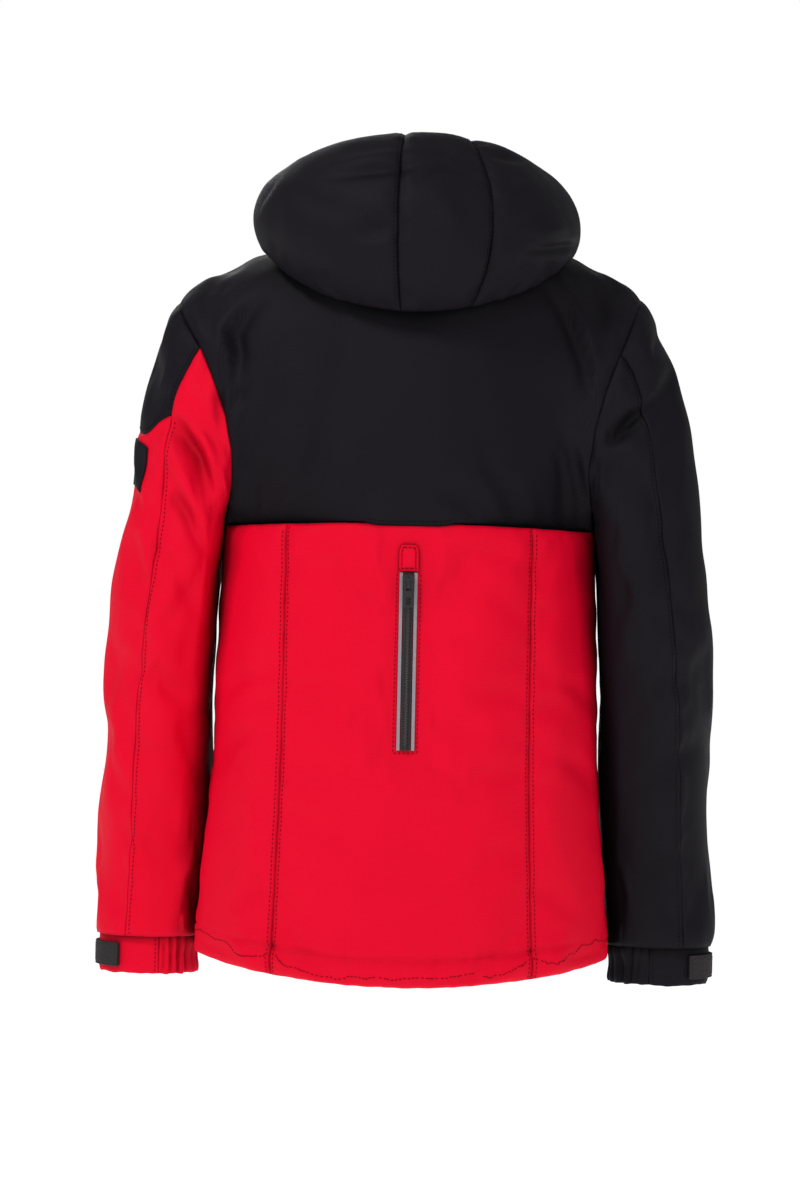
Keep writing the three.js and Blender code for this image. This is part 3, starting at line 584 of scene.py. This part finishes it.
def lay_cloth_map(piece, axis, radius):
    """A UV map in metres that wraps round an upright axis, for the weave."""
    mesh = piece.data
    layer = mesh.uv_layers.new(name="cloth")
    for polygon in mesh.polygons:
        first = None
        for corner in polygon.loop_indices:
            p = mesh.vertices[mesh.loops[corner].vertex_index].co
            q = p - axis(p.z)
            turn = math.atan2(q.x, q.y)
            if first is None:
                first = turn
            turn -= math.tau * round((turn - first) / math.tau)
            layer.data[corner].uv = (turn * radius, p.z)


red_nodes = {
    "back_centre_panel",
    "back_side_panel_left",
    "back_side_panel_right",
    "front_panel_left",
    "front_panel_right",
    "sleeve_left_under",
    "sleeve_left_top",
    "cuff_band_left",
    "cuff_elastic_left",
    "back_zip_garage",
}


def finish_cloth(piece, node, axis, radius, thickness):
    """Gives a cloth piece its weave, colour and thickness, and puts it in its CAD panel's place."""
    lay_cloth_map(piece, axis, radius)
    solidify = piece.modifiers.new("thickness", "SOLIDIFY")
    solidify.thickness = thickness
    solidify.offset = -1
    slots = {n["node"]: n["material_slot"] for n in frame["record"]["subparts"]}
    cloths = {"shell_red": red_cloth, "shell_black": black_cloth, "lining_black": lining_cloth}
    piece.data.materials.clear()
    piece.data.materials.append(cloths[slots[node]])
    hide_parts(node)


def across_armhole(piece, side):
    """Bakes a sleeve piece's placement into its mesh."""
    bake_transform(piece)


panel_depth = 0.0034
stitch_length, stitch_step, thread = 0.0030, 0.0044, 0.00045


def seam_lines(bm, one, other):
    """The seam between two panels as lists of points, each with the way into the first panel.

    other is None for the first panel's free edge.
    """
    def sides(edge):
        return [f.material_index for f in edge.link_faces]

    wanted = [one] if other is None else sorted((one, other))
    edges = [e for e in bm.edges if sorted(sides(e)) == wanted]
    near = {}
    for edge in edges:
        for vert in edge.verts:
            near.setdefault(vert, []).append(edge)
    lines = []
    left = set(edges)
    ends = sorted((v for v in near if len(near[v]) == 1), key=lambda v: v.index)
    for start in ends:
        if near[start][0] not in left:
            continue
        line = []
        vert = start
        while True:
            step = next((e for e in near[vert] if e in left), None)
            face = next(f for e in near[vert] for f in e.link_faces if f.material_index == one)
            line.append((vert.co.copy(), face.calc_center_median() - vert.co))
            if step is None:
                break
            left.discard(step)
            vert = step.other_vert(vert)
        lines.append(line)
    return lines


def free_edge(bm):
    """The edge of a piece that has only one, as seam_lines gives it."""
    start = next(v for v in bm.verts if v.is_boundary)
    line, left, vert = [], {e for e in bm.edges if e.is_boundary}, start
    while True:
        line.append((vert.co.copy(), vert.link_faces[0].calc_center_median() - vert.co))
        step = next((e for e in vert.link_edges if e in left), None)
        if step is None:
            return line
        left.discard(step)
        vert = step.other_vert(vert)


def add_stitch(bm, place, ahead, up, length=stitch_length, thread=thread):
    """One stitch: a short thread that dips into the cloth at both ends."""
    side = ahead.cross(up).normalized()
    half = ahead * (length / 2)
    middle = ahead * (length / 3.2)
    ends = [bm.verts.new(place - half - up * thread), bm.verts.new(place + half - up * thread)]
    rings = []
    for shift in (-middle, middle):
        ring = []
        for turn in range(4):
            angle = math.pi / 4 + turn * math.pi / 2
            around = side * math.cos(angle) + up * math.sin(angle)
            ring.append(bm.verts.new(place + shift + around * thread))
        rings.append(ring)
    for turn in range(4):
        a, b = turn, (turn + 1) % 4
        bm.faces.new((ends[0], rings[0][b], rings[0][a]))
        bm.faces.new((rings[0][a], rings[0][b], rings[1][b], rings[1][a]))
        bm.faces.new((ends[1], rings[1][a], rings[1][b]))


def stitch_row(bm, surface, line, inset, skip=0.004):
    """A row of stitches on a surface, beside a line of points with the way to the inside of each."""
    points = []
    for number, (p, inward) in enumerate(line):
        before = line[max(0, number - 1)][0]
        after = line[min(len(line) - 1, number + 1)][0]
        ahead = (after - before).normalized()
        inward = (inward - ahead * inward.dot(ahead)).normalized()
        points.append(p + inward * inset)
    lengths = [(b - a).length for a, b in zip(points, points[1:])]
    total = sum(lengths)
    at = skip
    number, passed = 0, 0.0
    while at < total - skip:
        while passed + lengths[number] < at:
            passed += lengths[number]
            number += 1
        a, b = points[number], points[number + 1]
        p = a.lerp(b, (at - passed) / lengths[number])
        hit, normal = surface.find_nearest(p)[:2]
        ahead = (b - a - normal * (b - a).dot(normal)).normalized()
        add_stitch(bm, hit + normal * thread * 0.35, ahead, normal)
        at += stitch_step


def sewn(name, colour):
    """Bonded polyester sewing thread: round, a little glossy, and twisted."""
    material, tree, shader = new_material(name)
    place = add_node(tree, "TexCoord").outputs["Object"]
    twist = add_node(tree, "TexNoise", None, {"Vector": place, "Scale": 1500.0})
    roughen(tree, shader, 0.4, 0.0002, twist.outputs["Fac"])
    shader.inputs["Base Color"].default_value = srgb(colour)
    shader.inputs["Roughness"].default_value = 0.6
    shader.inputs["Specular IOR Level"].default_value = 0.1
    return material


red_thread = sewn("red_polyester_thread", "#86000f")
black_thread = sewn("black_polyester_thread", "#0d0c0f")


def thread_piece(name, threads, is_red):
    """Stitches as one piece, in the thread that matches the cloth."""
    piece = link(name, threads)
    piece.data.materials.append(red_thread if is_red else black_thread)
    return piece


# Topstitching: which panel it runs on, beside which other panel, and how far from the seam.
seams = [
    ("back_yoke", "back_centre_panel", 0.005),
    ("back_yoke", "back_side_panel_left", 0.005),
    ("back_yoke", "back_side_panel_right", 0.005),
    ("back_centre_panel", "back_side_panel_left", 0.0042),
    ("back_centre_panel", "back_side_panel_right", 0.0042),
    ("back_side_panel_left", "back_centre_panel", 0.0042),
    ("back_side_panel_right", "back_centre_panel", 0.0042),
    ("front_yoke_left", "front_panel_left", 0.005),
    ("front_yoke_right", "front_panel_right", 0.005),
    ("front_yoke_left", "back_yoke", 0.005),
    ("front_yoke_right", "back_yoke", 0.005),
    ("front_panel_left", None, 0.006),
    ("front_panel_right", None, 0.006),
    ("front_yoke_left", None, 0.006),
    ("front_yoke_right", None, 0.006),
    ("back_centre_panel", None, 0.028),
    ("back_side_panel_left", None, 0.028),
    ("back_side_panel_right", None, 0.028),
    ("front_panel_left", None, 0.028),
    ("front_panel_right", None, 0.028),
    ("sleeve_left_under", "sleeve_left_top", 0.0045),
    ("sleeve_left_shoulder", "sleeve_left_under", 0.0045),
    ("sleeve_left_shoulder", "sleeve_left_top", 0.0045),
    ("sleeve_right_under", "sleeve_right_top", 0.0045),
]


def topstitch(bm, names, rules, label):
    """Sews the rows that a table of seams asks for, as one thread piece for each colour and side."""
    bm.normal_update()
    bm.verts.index_update()
    places = [v.co.copy() for v in bm.verts]
    panels = [[] for _ in names]
    for face in bm.faces:
        panels[face.material_index].append([v.index for v in face.verts])
    surfaces = [BVHTree.FromPolygons(places, panel) for panel in panels]
    rows = {}
    for one, other, inset in rules:
        if one not in names:
            continue
        side = next((s for s in ("left", "right") if one in sleeve_names[s]), "")
        target = rows.setdefault((side, one in red_nodes), bmesh.new())
        other_number = None if other is None else names.index(other)
        for line in seam_lines(bm, names.index(one), other_number):
            heights = [p.z for p, _ in line]
            level = max(heights) - min(heights) < 0.04
            if other is None and level != (inset > 0.02):
                continue
            if other is None and level and max(heights) > -0.6:
                continue
            stitch_row(target, surfaces[names.index(one)], line, inset)
    for (side, is_red), target in rows.items():
        thread_name = "topstitching_" + "_".join(w for w in (label, side, "red" if is_red else "black") if w)
        yield thread_piece(thread_name, target, is_red), side


shell_bm.normal_update()
shell_surface = BVHTree.FromBMesh(shell_bm)
for piece, side in topstitch(shell_bm, shell_names, seams, "shell"):
    if side:
        across_armhole(piece, side)
    else:
        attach(piece, "jacket_body")

pieces = split(shell_bm, shell_names, "shell_")
for name, piece in pieces.items():
    side = next((s for s in ("left", "right") if name in sleeve_names[s]), None)
    if side:
        finish_cloth(piece, name, sleeve_axis[side], 0.07, panel_depth)
        across_armhole(piece, side)
    else:
        finish_cloth(piece, name, body_axis, 0.17, panel_depth)
        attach(piece, "jacket_body")

# ---------------------------------------------------------------------------
# Linings: thin taffeta behind the padding, hanging a little loose from the shell.
slack = 0.0034
body_linings = ["lining_back", "lining_front_left", "lining_front_right"]
for node in body_linings + ["sleeve_lining_left", "sleeve_lining_right"]:
    side = next((s for s in ("left", "right") if node == "sleeve_lining_" + s), None)
    axis = sleeve_axis[side] if side else body_axis
    lining = smoothed(welded([node], {node: axis}), 3)
    lining.normal_update()
    edge = seam_tree(lining, is_seam)
    places = []
    for vert in lining.verts:
        free = 1 - math.exp(-edge.find(vert.co)[2] / 0.012)
        ripple = 0.0012 * noise.noise(Vector((vert.co.x * 30, vert.co.y * 30, vert.co.z * 12)))
        drop = jacket_folds(vert.co, vert.normal) - free * (slack + ripple)
        places.append(vert.co + vert.normal * min(0, drop))
    put(lining, places)
    for face in lining.faces:
        face.smooth = True
    piece = link(node + "_cloth", lining)
    finish_cloth(piece, node, axis, 0.07 if side else 0.17, 0.0010)
    if side:
        across_armhole(piece, side)
    else:
        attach(piece, "jacket_body")

# ---------------------------------------------------------------------------
# Hood: three padded panels that lie folded back, a bound rim, a taffeta lining, and a neck piece.
hood_names = ["hood_centre_panel", "hood_side_panel_left", "hood_side_panel_right"]


def hood_inside(z):
    return Vector((0, 0.05, 0.055))


def across_neck(piece):
    """Bakes a hood piece's placement into its mesh."""
    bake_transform(piece)


hood_folds = fold_shape(
    [
        (1, [(84, 52), (50, 57), (18, 60), (-24, 72)], -3.2, 6),
        (1, [(80, 64), (40, 70), (0, 78)], 2.0, 8),
        (1, [(-3, 52), (-31, 62), (-64, 58)], -2.6, 7),
        (1, [(58, -4), (38, -1), (16, 2)], -3.0, 10),
        (1, [(60, -18), (36, -17), (12, -14)], 1.8, 8),
        (1, [(-70, 80), (-86, 79), (-101, 76)], -2.2, 5),
        (1, [(120, 40), (96, 24), (66, 18)], -1.8, 12),
        (1, [(-140, 30), (-110, 6), (-80, -8)], -1.8, 12),
        (1, [(-128, 52), (-100, 44), (-78, 30)], 1.6, 10),
        (1, [(-172, 6), (-156, -4), (-136, -10), (-112, -14)], -3.6, 5),
        (1, [(-150, 16), (-130, 8), (-104, 2)], 2.2, 8),
        (1, [(-24, 104), (-40, 84), (-70, 66)], -1.6, 9),
        (1, [(140, 70), (120, 92), (92, 104)], -1.6, 9),
        (1, [(-20, 40), (-34, 10), (-30, -30)], 1.6, 12),
        (1, [(96, -30), (60, -40), (20, -42)], 1.4, 9),
    ]
)


def hood_spread(p):
    """The hood lies heavy: full at its lower sides, and a little higher and lower in the middle."""
    fuller = 0.03 if p.x > 0 else 0.07
    wide = 1 + fuller * (1 - soft_step(p.z, -0.004, 0.058)) * soft_step(abs(p.x), 0.05, 0.14)
    drop = 0.004 * (1 - soft_step(p.z, -0.05, 0.0)) * (1 - soft_step(abs(p.x), 0.09, 0.14))
    rise = 0.003 * soft_step(p.z, 0.07, 0.11)
    return Vector((p.x * wide, p.y, p.z + rise - drop))


hood_bm = welded(hood_names, {n: hood_inside for n in hood_names})
for vert in hood_bm.verts:
    vert.co = hood_spread(vert.co)
hood_bm = smoothed(hood_bm, 2)
hood_bm = puffed(hood_bm, 14, 2.0, 0.035, 0.003)
hood_bm = smoothed(hood_bm, 2)
hood_bm.normal_update()
hood_seams = seam_tree(hood_bm, is_seam)
places = []
for vert in hood_bm.verts:
    p, n = vert.co.copy(), vert.normal.copy()
    gap = hood_seams.find(p)[2]
    free = 1 - math.exp(-gap / 0.016)
    lift = 0.0012 * free - 0.0012 * math.exp(-gap / 0.0022) + hood_folds(p, n)
    lift += 0.0008 * noise.noise(p * 95) * math.exp(-((gap / 0.014) ** 2))
    lift += free * (0.0026 * noise.noise(p * 13) + 0.0010 * noise.noise(p * 34))
    places.append(p + n * lift)
put(hood_bm, places)
hood_seam_rules = [
    ("hood_side_panel_left", "hood_centre_panel", 0.0042),
    ("hood_centre_panel", "hood_side_panel_right", 0.0042),
]
for piece, _ in topstitch(hood_bm, hood_names, hood_seam_rules, "hood"):
    across_neck(piece)
for name, piece in split(hood_bm, hood_names, "shell_").items():
    finish_cloth(piece, name, hood_inside, 0.13, 0.0026)
    across_neck(piece)

neck_cloths = {"hood_lining": 0.001, "hood_neck": 0.0018, "collar_shell": 0.0028, "collar_lining": 0.0014}
for node, thickness in neck_cloths.items():
    middle = hood_inside if node == "hood_lining" else (lambda z: Vector((0, 0, z)))
    cloth = welded([node], {node: middle})
    if node == "hood_lining":
        for vert in cloth.verts:
            vert.co = hood_spread(vert.co)
    cloth = smoothed(cloth, 3)
    cloth.normal_update()
    edge = seam_tree(cloth, is_seam)
    sink = {"hood_lining": -0.0045, "collar_lining": -0.0008}.get(node, 0.0010)
    places = []
    for vert in cloth.verts:
        free = 1 - math.exp(-edge.find(vert.co)[2] / 0.008)
        places.append(vert.co + vert.normal * free * (sink + 0.0010 * noise.noise(vert.co * 32)))
    put(cloth, places)
    for face in cloth.faces:
        face.smooth = True
    piece = link(node + "_cloth", cloth)
    finish_cloth(piece, node, middle, 0.1, thickness)
    if node == "hood_lining":
        across_neck(piece)
    else:
        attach(piece, "jacket_body")


def rounded(node, name, levels):
    """A CAD piece's mesh as quads, rounded by subdivision."""
    bm = bmesh.new()
    bm.from_mesh(nodes[node].data)
    bmesh.ops.remove_doubles(bm, verts=bm.verts, dist=0.00002)
    bmesh.ops.join_triangles(bm, faces=bm.faces, angle_face_threshold=math.pi, angle_shape_threshold=math.pi)
    bm = smoothed(bm, levels)
    for face in bm.faces:
        face.smooth = True
    return link(name, bm)


rim = rounded("hood_rim", "hood_rim_binding", 1)
for vert in rim.data.vertices:
    vert.co = hood_spread(vert.co)
lay_cloth_map(rim, hood_inside, 0.12)
rim.data.materials.clear()
rim.data.materials.append(black_cloth)
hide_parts("hood_rim")
across_neck(rim)

# ---------------------------------------------------------------------------
# Cuffs: a flat band round the outer half of the wrist, and an elasticated inner half that is
# gathered into upright pleats. A hook tab is sewn to the front of the band and closes on loop tape.
pleats = 30  # all round, if the elastic ran all the way
pleat_depth = 0.0030
for side in ("left", "right"):
    names = ["cuff_band_" + side, "cuff_elastic_" + side]
    axis = middle_of(names)
    cuff = smoothed(welded(names, {name: axis for name in names}), 4)
    cuff.normal_update()
    band_edge = seam_tree(cuff, lambda e: len(e.link_faces) == 2 and is_seam(e))
    low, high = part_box(names[0])
    places = []
    for vert in cuff.verts:
        p, n = vert.co.copy(), vert.normal.copy()
        gathered = all(f.material_index == 1 for f in vert.link_faces)
        away = band_edge.find(p)[2]
        up = (p.z - low.z) / (high.z - low.z)
        roll_in = 0.0016 * (abs(2 * up - 1) ** 6)
        lift = 0.0006 - roll_in - 0.0010 * math.exp(-away / 0.0016)
        if gathered:
            turn = math.atan2(p.x - axis(0).x, p.y - axis(0).y)
            wander = 1.6 * noise.noise(Vector((p.x * 45, p.y * 45, p.z * 22)))
            share = 1 - math.exp(-away / 0.005)
            ridge = abs(math.sin(turn * pleats / 2 + 1.6 * wander)) ** 0.7
            size = 0.65 + 0.7 * noise.noise(Vector((p.x * 55, p.y * 55, 4)))
            lift += share * pleat_depth * size * (2 * ridge - 1.3)
            lift -= share * 0.0020 * math.sin(math.pi * up) ** 2
        else:
            lift += 0.0009 * noise.noise(p * 45)
        tuck = 0.0035 * soft_step(up, 0.8, 1.0)
        tuck -= 0.0012 * (1 - soft_step(up, 0.0, 0.12)) * noise.noise(p * 90)
        places.append(p + n * lift + Vector((0, 0, tuck)))
    put(cuff, places)
    cuff.normal_update()
    surface = BVHTree.FromBMesh(cuff)
    threads = bmesh.new()
    for line in seam_lines(cuff, 0, 1):
        stitch_row(threads, surface, line, 0.004)
    rows = thread_piece("topstitching_cuff_" + side, threads, side == "left")
    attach(rows, "sleeve_" + side)
    for name, piece in split(cuff, names, "shell_").items():
        finish_cloth(piece, name, axis, 0.04, 0.0026)
        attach(piece, "sleeve_" + side)


def rough_tape(name, colour, grain, depth):
    """Hook or loop tape: woven nylon covered in tiny hooks or loops, so matt and grainy."""
    material, tree, shader = new_material(name)
    place = add_node(tree, "TexCoord").outputs["Object"]
    hooks = add_node(tree, "TexVoronoi", None, {"Vector": place, "Scale": 1 / grain})
    roughen(tree, shader, 0.8, depth, hooks.outputs["Distance"])
    tone = add_node(tree, "MapRange", None, {"Value": hooks.outputs["Distance"], "From Max": 0.55})
    two_tone(tree, shader, tone.outputs[0], "#08070a", colour)
    shader.inputs["Roughness"].default_value = 0.8
    return material


hook_tape = rough_tape("black_hook_tape", "#211b1e", 0.0022, 0.0010)
loop_tape = rough_tape("black_loop_tape", "#141216", 0.0009, 0.0004)


def tape_piece(node, name, axis, thickness, material, bevel=0.0004, levels=3, ground=None):
    """A flat sewn-on piece: a CAD slab's outer face, smoothed and given its thickness and soft edges."""
    bm = smoothed(welded([node], {node: axis}), levels)
    for vert in bm.verts if ground else ():
        hit, normal = ground.find_nearest(vert.co)[:2]
        vert.co = hit + normal * (thickness + 0.0002)
    for face in bm.faces:
        face.smooth = True
        face.material_index = 0
    bm.normal_update()
    border = seam_tree(bm, is_seam)
    for vert in bm.verts:
        gap = border.find(vert.co)[2]
        vert.co -= vert.normal * 0.0005 * math.exp(-(((gap - 0.0016) / 0.0006) ** 2))
    piece = link(name, bm)
    lay_cloth_map(piece, axis, 0.05)
    solidify = piece.modifiers.new("thickness", "SOLIDIFY")
    solidify.thickness = thickness
    solidify.offset = -1
    soft = piece.modifiers.new("soft_edge", "BEVEL")
    soft.width = bevel
    soft.segments = 2
    soft.limit_method = "ANGLE"
    soft.angle_limit = math.radians(50)
    piece.data.materials.clear()
    piece.data.materials.append(material)
    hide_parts(node)
    return piece


for side in ("left", "right"):
    axis = middle_of(["cuff_band_" + side, "cuff_elastic_" + side])
    tab = tape_piece("cuff_tab_" + side, "hook_tab_" + side, axis, 0.0022, hook_tape, levels=4)
    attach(tab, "cuff_tab_" + side)
    node = "cuff_loop_patch_" + side
    patch = tape_piece(node, "loop_patch_" + side, axis, 0.0010, loop_tape, 0.0003)
    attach(patch, "sleeve_" + side)
axis = sleeve_axis["left"]
badge = tape_piece(
    "sleeve_badge", "sleeve_patch", axis, 0.0014, black_cloth, ground=shell_surface
)
across_armhole(badge, "left")

# ---------------------------------------------------------------------------
# Zips: nylon coils sewn to woven tape, with lacquered zinc sliders. The back pocket's tape has a grey
# reflective edge on each side and a stitched red cover over the slider's parking place.


def lacquered(name, colour, roughness):
    """Die-cast zinc under black lacquer: glossy, with a slightly uneven skin."""
    material, tree, shader = new_material(name)
    place = add_node(tree, "TexCoord").outputs["Object"]
    skin = add_node(tree, "TexNoise", None, {"Vector": place, "Scale": 700.0})
    roughen(tree, shader, 0.15, 0.0002, skin.outputs["Fac"])
    shader.inputs["Base Color"].default_value = srgb(colour)
    shader.inputs["Roughness"].default_value = roughness
    shader.inputs["Coat Weight"].default_value = 0.5
    return material


def ribbed_tape(name, colour, dark):
    """Zip tape: fine upright ribs of polyester."""
    material, tree, shader = new_material(name)
    place = add_node(tree, "TexCoord").outputs["Object"]
    rib_pitch = 0.0012
    ribs = add_node(
        tree, "TexWave", {"bands_direction": "X"}, {"Vector": place, "Scale": math.pi / 10 / rib_pitch}
    )
    rows = add_node(
        tree, "TexWave", {"bands_direction": "Z"}, {"Vector": place, "Scale": math.pi / 10 / rib_pitch}
    )
    both = {0: ribs.outputs["Fac"], 1: rows.outputs["Fac"]}
    weave = add_node(tree, "Math", {"operation": "MULTIPLY"}, both)
    two_tone(tree, shader, weave.outputs[0], dark, colour)
    roughen(tree, shader, 0.5, 0.0003, weave.outputs[0])
    shader.inputs["Roughness"].default_value = 0.75
    return material


def beaded(name, colour, dark):
    """Reflective tape: glass beads a twentieth of a millimetre wide, drawn larger so that they show."""
    material, tree, shader = new_material(name)
    place = add_node(tree, "TexCoord").outputs["Object"]
    beads = add_node(tree, "TexNoise", None, {"Vector": place, "Scale": 900.0, "Detail": 2.0})
    two_tone(tree, shader, beads.outputs["Fac"], dark, colour)
    roughen(tree, shader, 0.2, 0.0002, beads.outputs["Fac"])
    shader.inputs["Roughness"].default_value = 0.35
    shader.inputs["Metallic"].default_value = 0.3
    return material


lacquer = lacquered("black_lacquered_zinc", "#19171a", 0.22)
coil_nylon = lacquered("black_nylon_coil", "#3a3438", 0.45)
tape_weave = ribbed_tape("black_zip_tape", "#453a3f", "#1a1618")
grey_beads = beaded("grey_reflective_tape", "#b3a8b1", "#7d747c")


def cast(node, name, width, material, body, stretch=1.0):
    """A hard CAD piece with its flat faces joined, its edges rounded, and its width stretched."""
    bm = bmesh.new()
    bm.from_mesh(nodes[node].data)
    low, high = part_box(node)
    middle = (low.x + high.x) / 2
    for vert in bm.verts:
        vert.co.x = middle + (vert.co.x - middle) * stretch
    bmesh.ops.remove_doubles(bm, verts=bm.verts, dist=0.00002)
    bmesh.ops.dissolve_limit(bm, verts=bm.verts, edges=bm.edges, angle_limit=math.radians(2))
    sharp = [e for e in bm.edges if len(e.link_faces) == 2 and e.calc_face_angle() > math.radians(40)]
    bmesh.ops.bevel(
        bm, geom=sharp, offset=width, affect="EDGES", segments=2, profile=0.5, material=-1, clamp_overlap=True
    )
    piece = link(name, bm)
    lay_cloth_map(piece, lambda z: Vector((0, -10, z)), 10)
    piece.data.materials.clear()
    piece.data.materials.append(material)
    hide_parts(node)
    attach(piece, body)


for zip_name in ("back_zip", "front_zip", "hand_zip_left", "hand_zip_right"):
    for part in ("slider", "pull"):
        node = zip_name + "_" + part
        stretch = 1.3 if zip_name == "back_zip" else 1.0
        cast(node, node + "_cast", 0.0005, lacquer, node, stretch)


def coil_of(tapes, name, width, pitch, thick):
    """The teeth of a closed coil zip: short bars across it, which step from side to side in turn."""
    tape = bmesh.new()
    for node in tapes:
        tape.from_mesh(nodes[node].data)
    surface = BVHTree.FromBMesh(tape)
    heights = [v.co.z for v in tape.verts]
    ends = []
    for edge in (max(heights), min(heights)):
        near = [v.co for v in tape.verts if abs(v.co.z - edge) < 0.003]
        ends.append(sum(near, Vector()) / len(near))
    tape.free()
    top, bottom = ends
    run = bottom - top
    out = Vector((top.x, top.y * 1.6, 0)).normalized()
    across = run.cross(out).normalized()
    out = across.cross(run).normalized()
    if out.y * top.y < 0:
        out.negate()
    teeth = bmesh.new()
    count = int((run.length - 0.006) / pitch)
    for number in range(count):
        p = top + run.normalized() * (0.003 + number * pitch)
        hit = surface.ray_cast(p + out * 0.02, -out)[0]
        if hit is None:
            continue
        sway = across * (0.0004 if number % 2 else -0.0004)
        add_stitch(teeth, hit + sway + out * thick * 0.3, across, out, width, thick)
    piece = link(name, teeth)
    piece.data.materials.append(coil_nylon)
    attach(piece, "jacket_body")
    return top, bottom, out, across


zip_lines = {
    name: coil_of([name + "_tape"], name + "_coil", 0.0036, 0.0017, 0.0006)
    for name in ("back_zip", "hand_zip_left", "hand_zip_right")
}
coil_of(["front_zip_left", "front_zip_right"], "front_zip_coil", 0.0056, 0.0024, 0.0009)
for node in [*(name + "_tape" for name in zip_lines), "front_zip_left", "front_zip_right"]:
    nodes[node].material_slots[0].material = tape_weave
for node in ("reflective_strip_left", "reflective_strip_right"):
    nodes[node].material_slots[0].material = grey_beads

# The pocket edges are stitched down 3 mm outside the tape or its reflective edge. The back pocket's
# row is open at the top, where its cover lies.
edge_threads = bmesh.new()
for zip_name, (top, bottom, out, across) in zip_lines.items():
    half = 0.0118 if zip_name == "back_zip" else 0.0082
    run = (bottom - top).normalized()
    corners = [(1, 0.002), (1, 1), (-1, 1), (-1, 0.002)]
    ring = []
    for sign, share in corners:
        ring.append(top + across * sign * half + (bottom - top + run * 0.003) * share)
    if zip_name != "back_zip":
        ring.append(ring[0])
    for a, b in zip(ring, ring[1:]):
        line = [(a.lerp(b, t / 8), across) for t in range(9)]
        stitch_row(edge_threads, shell_surface, line, 0.0, 0.002)
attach(thread_piece("topstitching_pockets", edge_threads, True), "jacket_body")

low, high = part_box("back_zip_garage")
cover = smoothed(welded(["back_zip_garage"], {"back_zip_garage": body_axis}), 4)
cover.normal_update()
corner = 0.008
for vert in cover.verts:
    t = max(0, (vert.co.z - high.z + corner) / corner)
    vert.co.x *= 1 - 0.30 * t**2
cover_edge = free_edge(cover)
edge_tree = seam_tree(cover, is_seam)
for vert in cover.verts:
    gap = edge_tree.find(vert.co)[2]
    rise = 0.0024 * (1 - math.exp(-gap / 0.002))
    stitched = 0.0014 * math.exp(-(((gap - 0.003) / 0.0009) ** 2))
    vert.co += vert.normal * (rise - stitched)
cover.normal_update()
cover_threads = bmesh.new()
stitch_row(cover_threads, BVHTree.FromBMesh(cover), cover_edge, 0.003, 0.001)
for face in cover.faces:
    face.smooth = True
    face.material_index = 0
cover_piece = link("back_zip_cover", cover)
finish_cloth(cover_piece, "back_zip_garage", body_axis, 0.17, 0.0016)
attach(cover_piece, "jacket_body")
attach(thread_piece("topstitching_zip_cover", cover_threads, True), "jacket_body")

# ---------------------------------------------------------------------------
# Inside: the pocket bags, the flap and guard behind the front zip, and the woven hanging loop.
for node in ("back_pocket_bag", "hand_pocket_bag_left", "hand_pocket_bag_right"):
    bag = smoothed(welded([node], {node: body_axis}), 3)
    bag.normal_update()
    for vert in bag.verts:
        sink = jacket_folds(vert.co, vert.normal) - 0.0055 + 0.001 * noise.noise(vert.co * 40)
        vert.co += vert.normal * min(-0.001, sink)
    for face in bag.faces:
        face.smooth = True
    piece = link(node + "_cloth", bag)
    finish_cloth(piece, node, body_axis, 0.17, 0.0016)
    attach(piece, "jacket_body")
webbing = ribbed_tape("black_webbing", "#1a181b", "#0a090b")
cast("storm_flap", "storm_flap_cloth", 0.0007, lining_cloth, "jacket_body")
cast("chin_guard", "chin_guard_cloth", 0.0007, lining_cloth, "jacket_body")
cast("hang_loop", "hang_loop_webbing", 0.0004, webbing, "jacket_body")
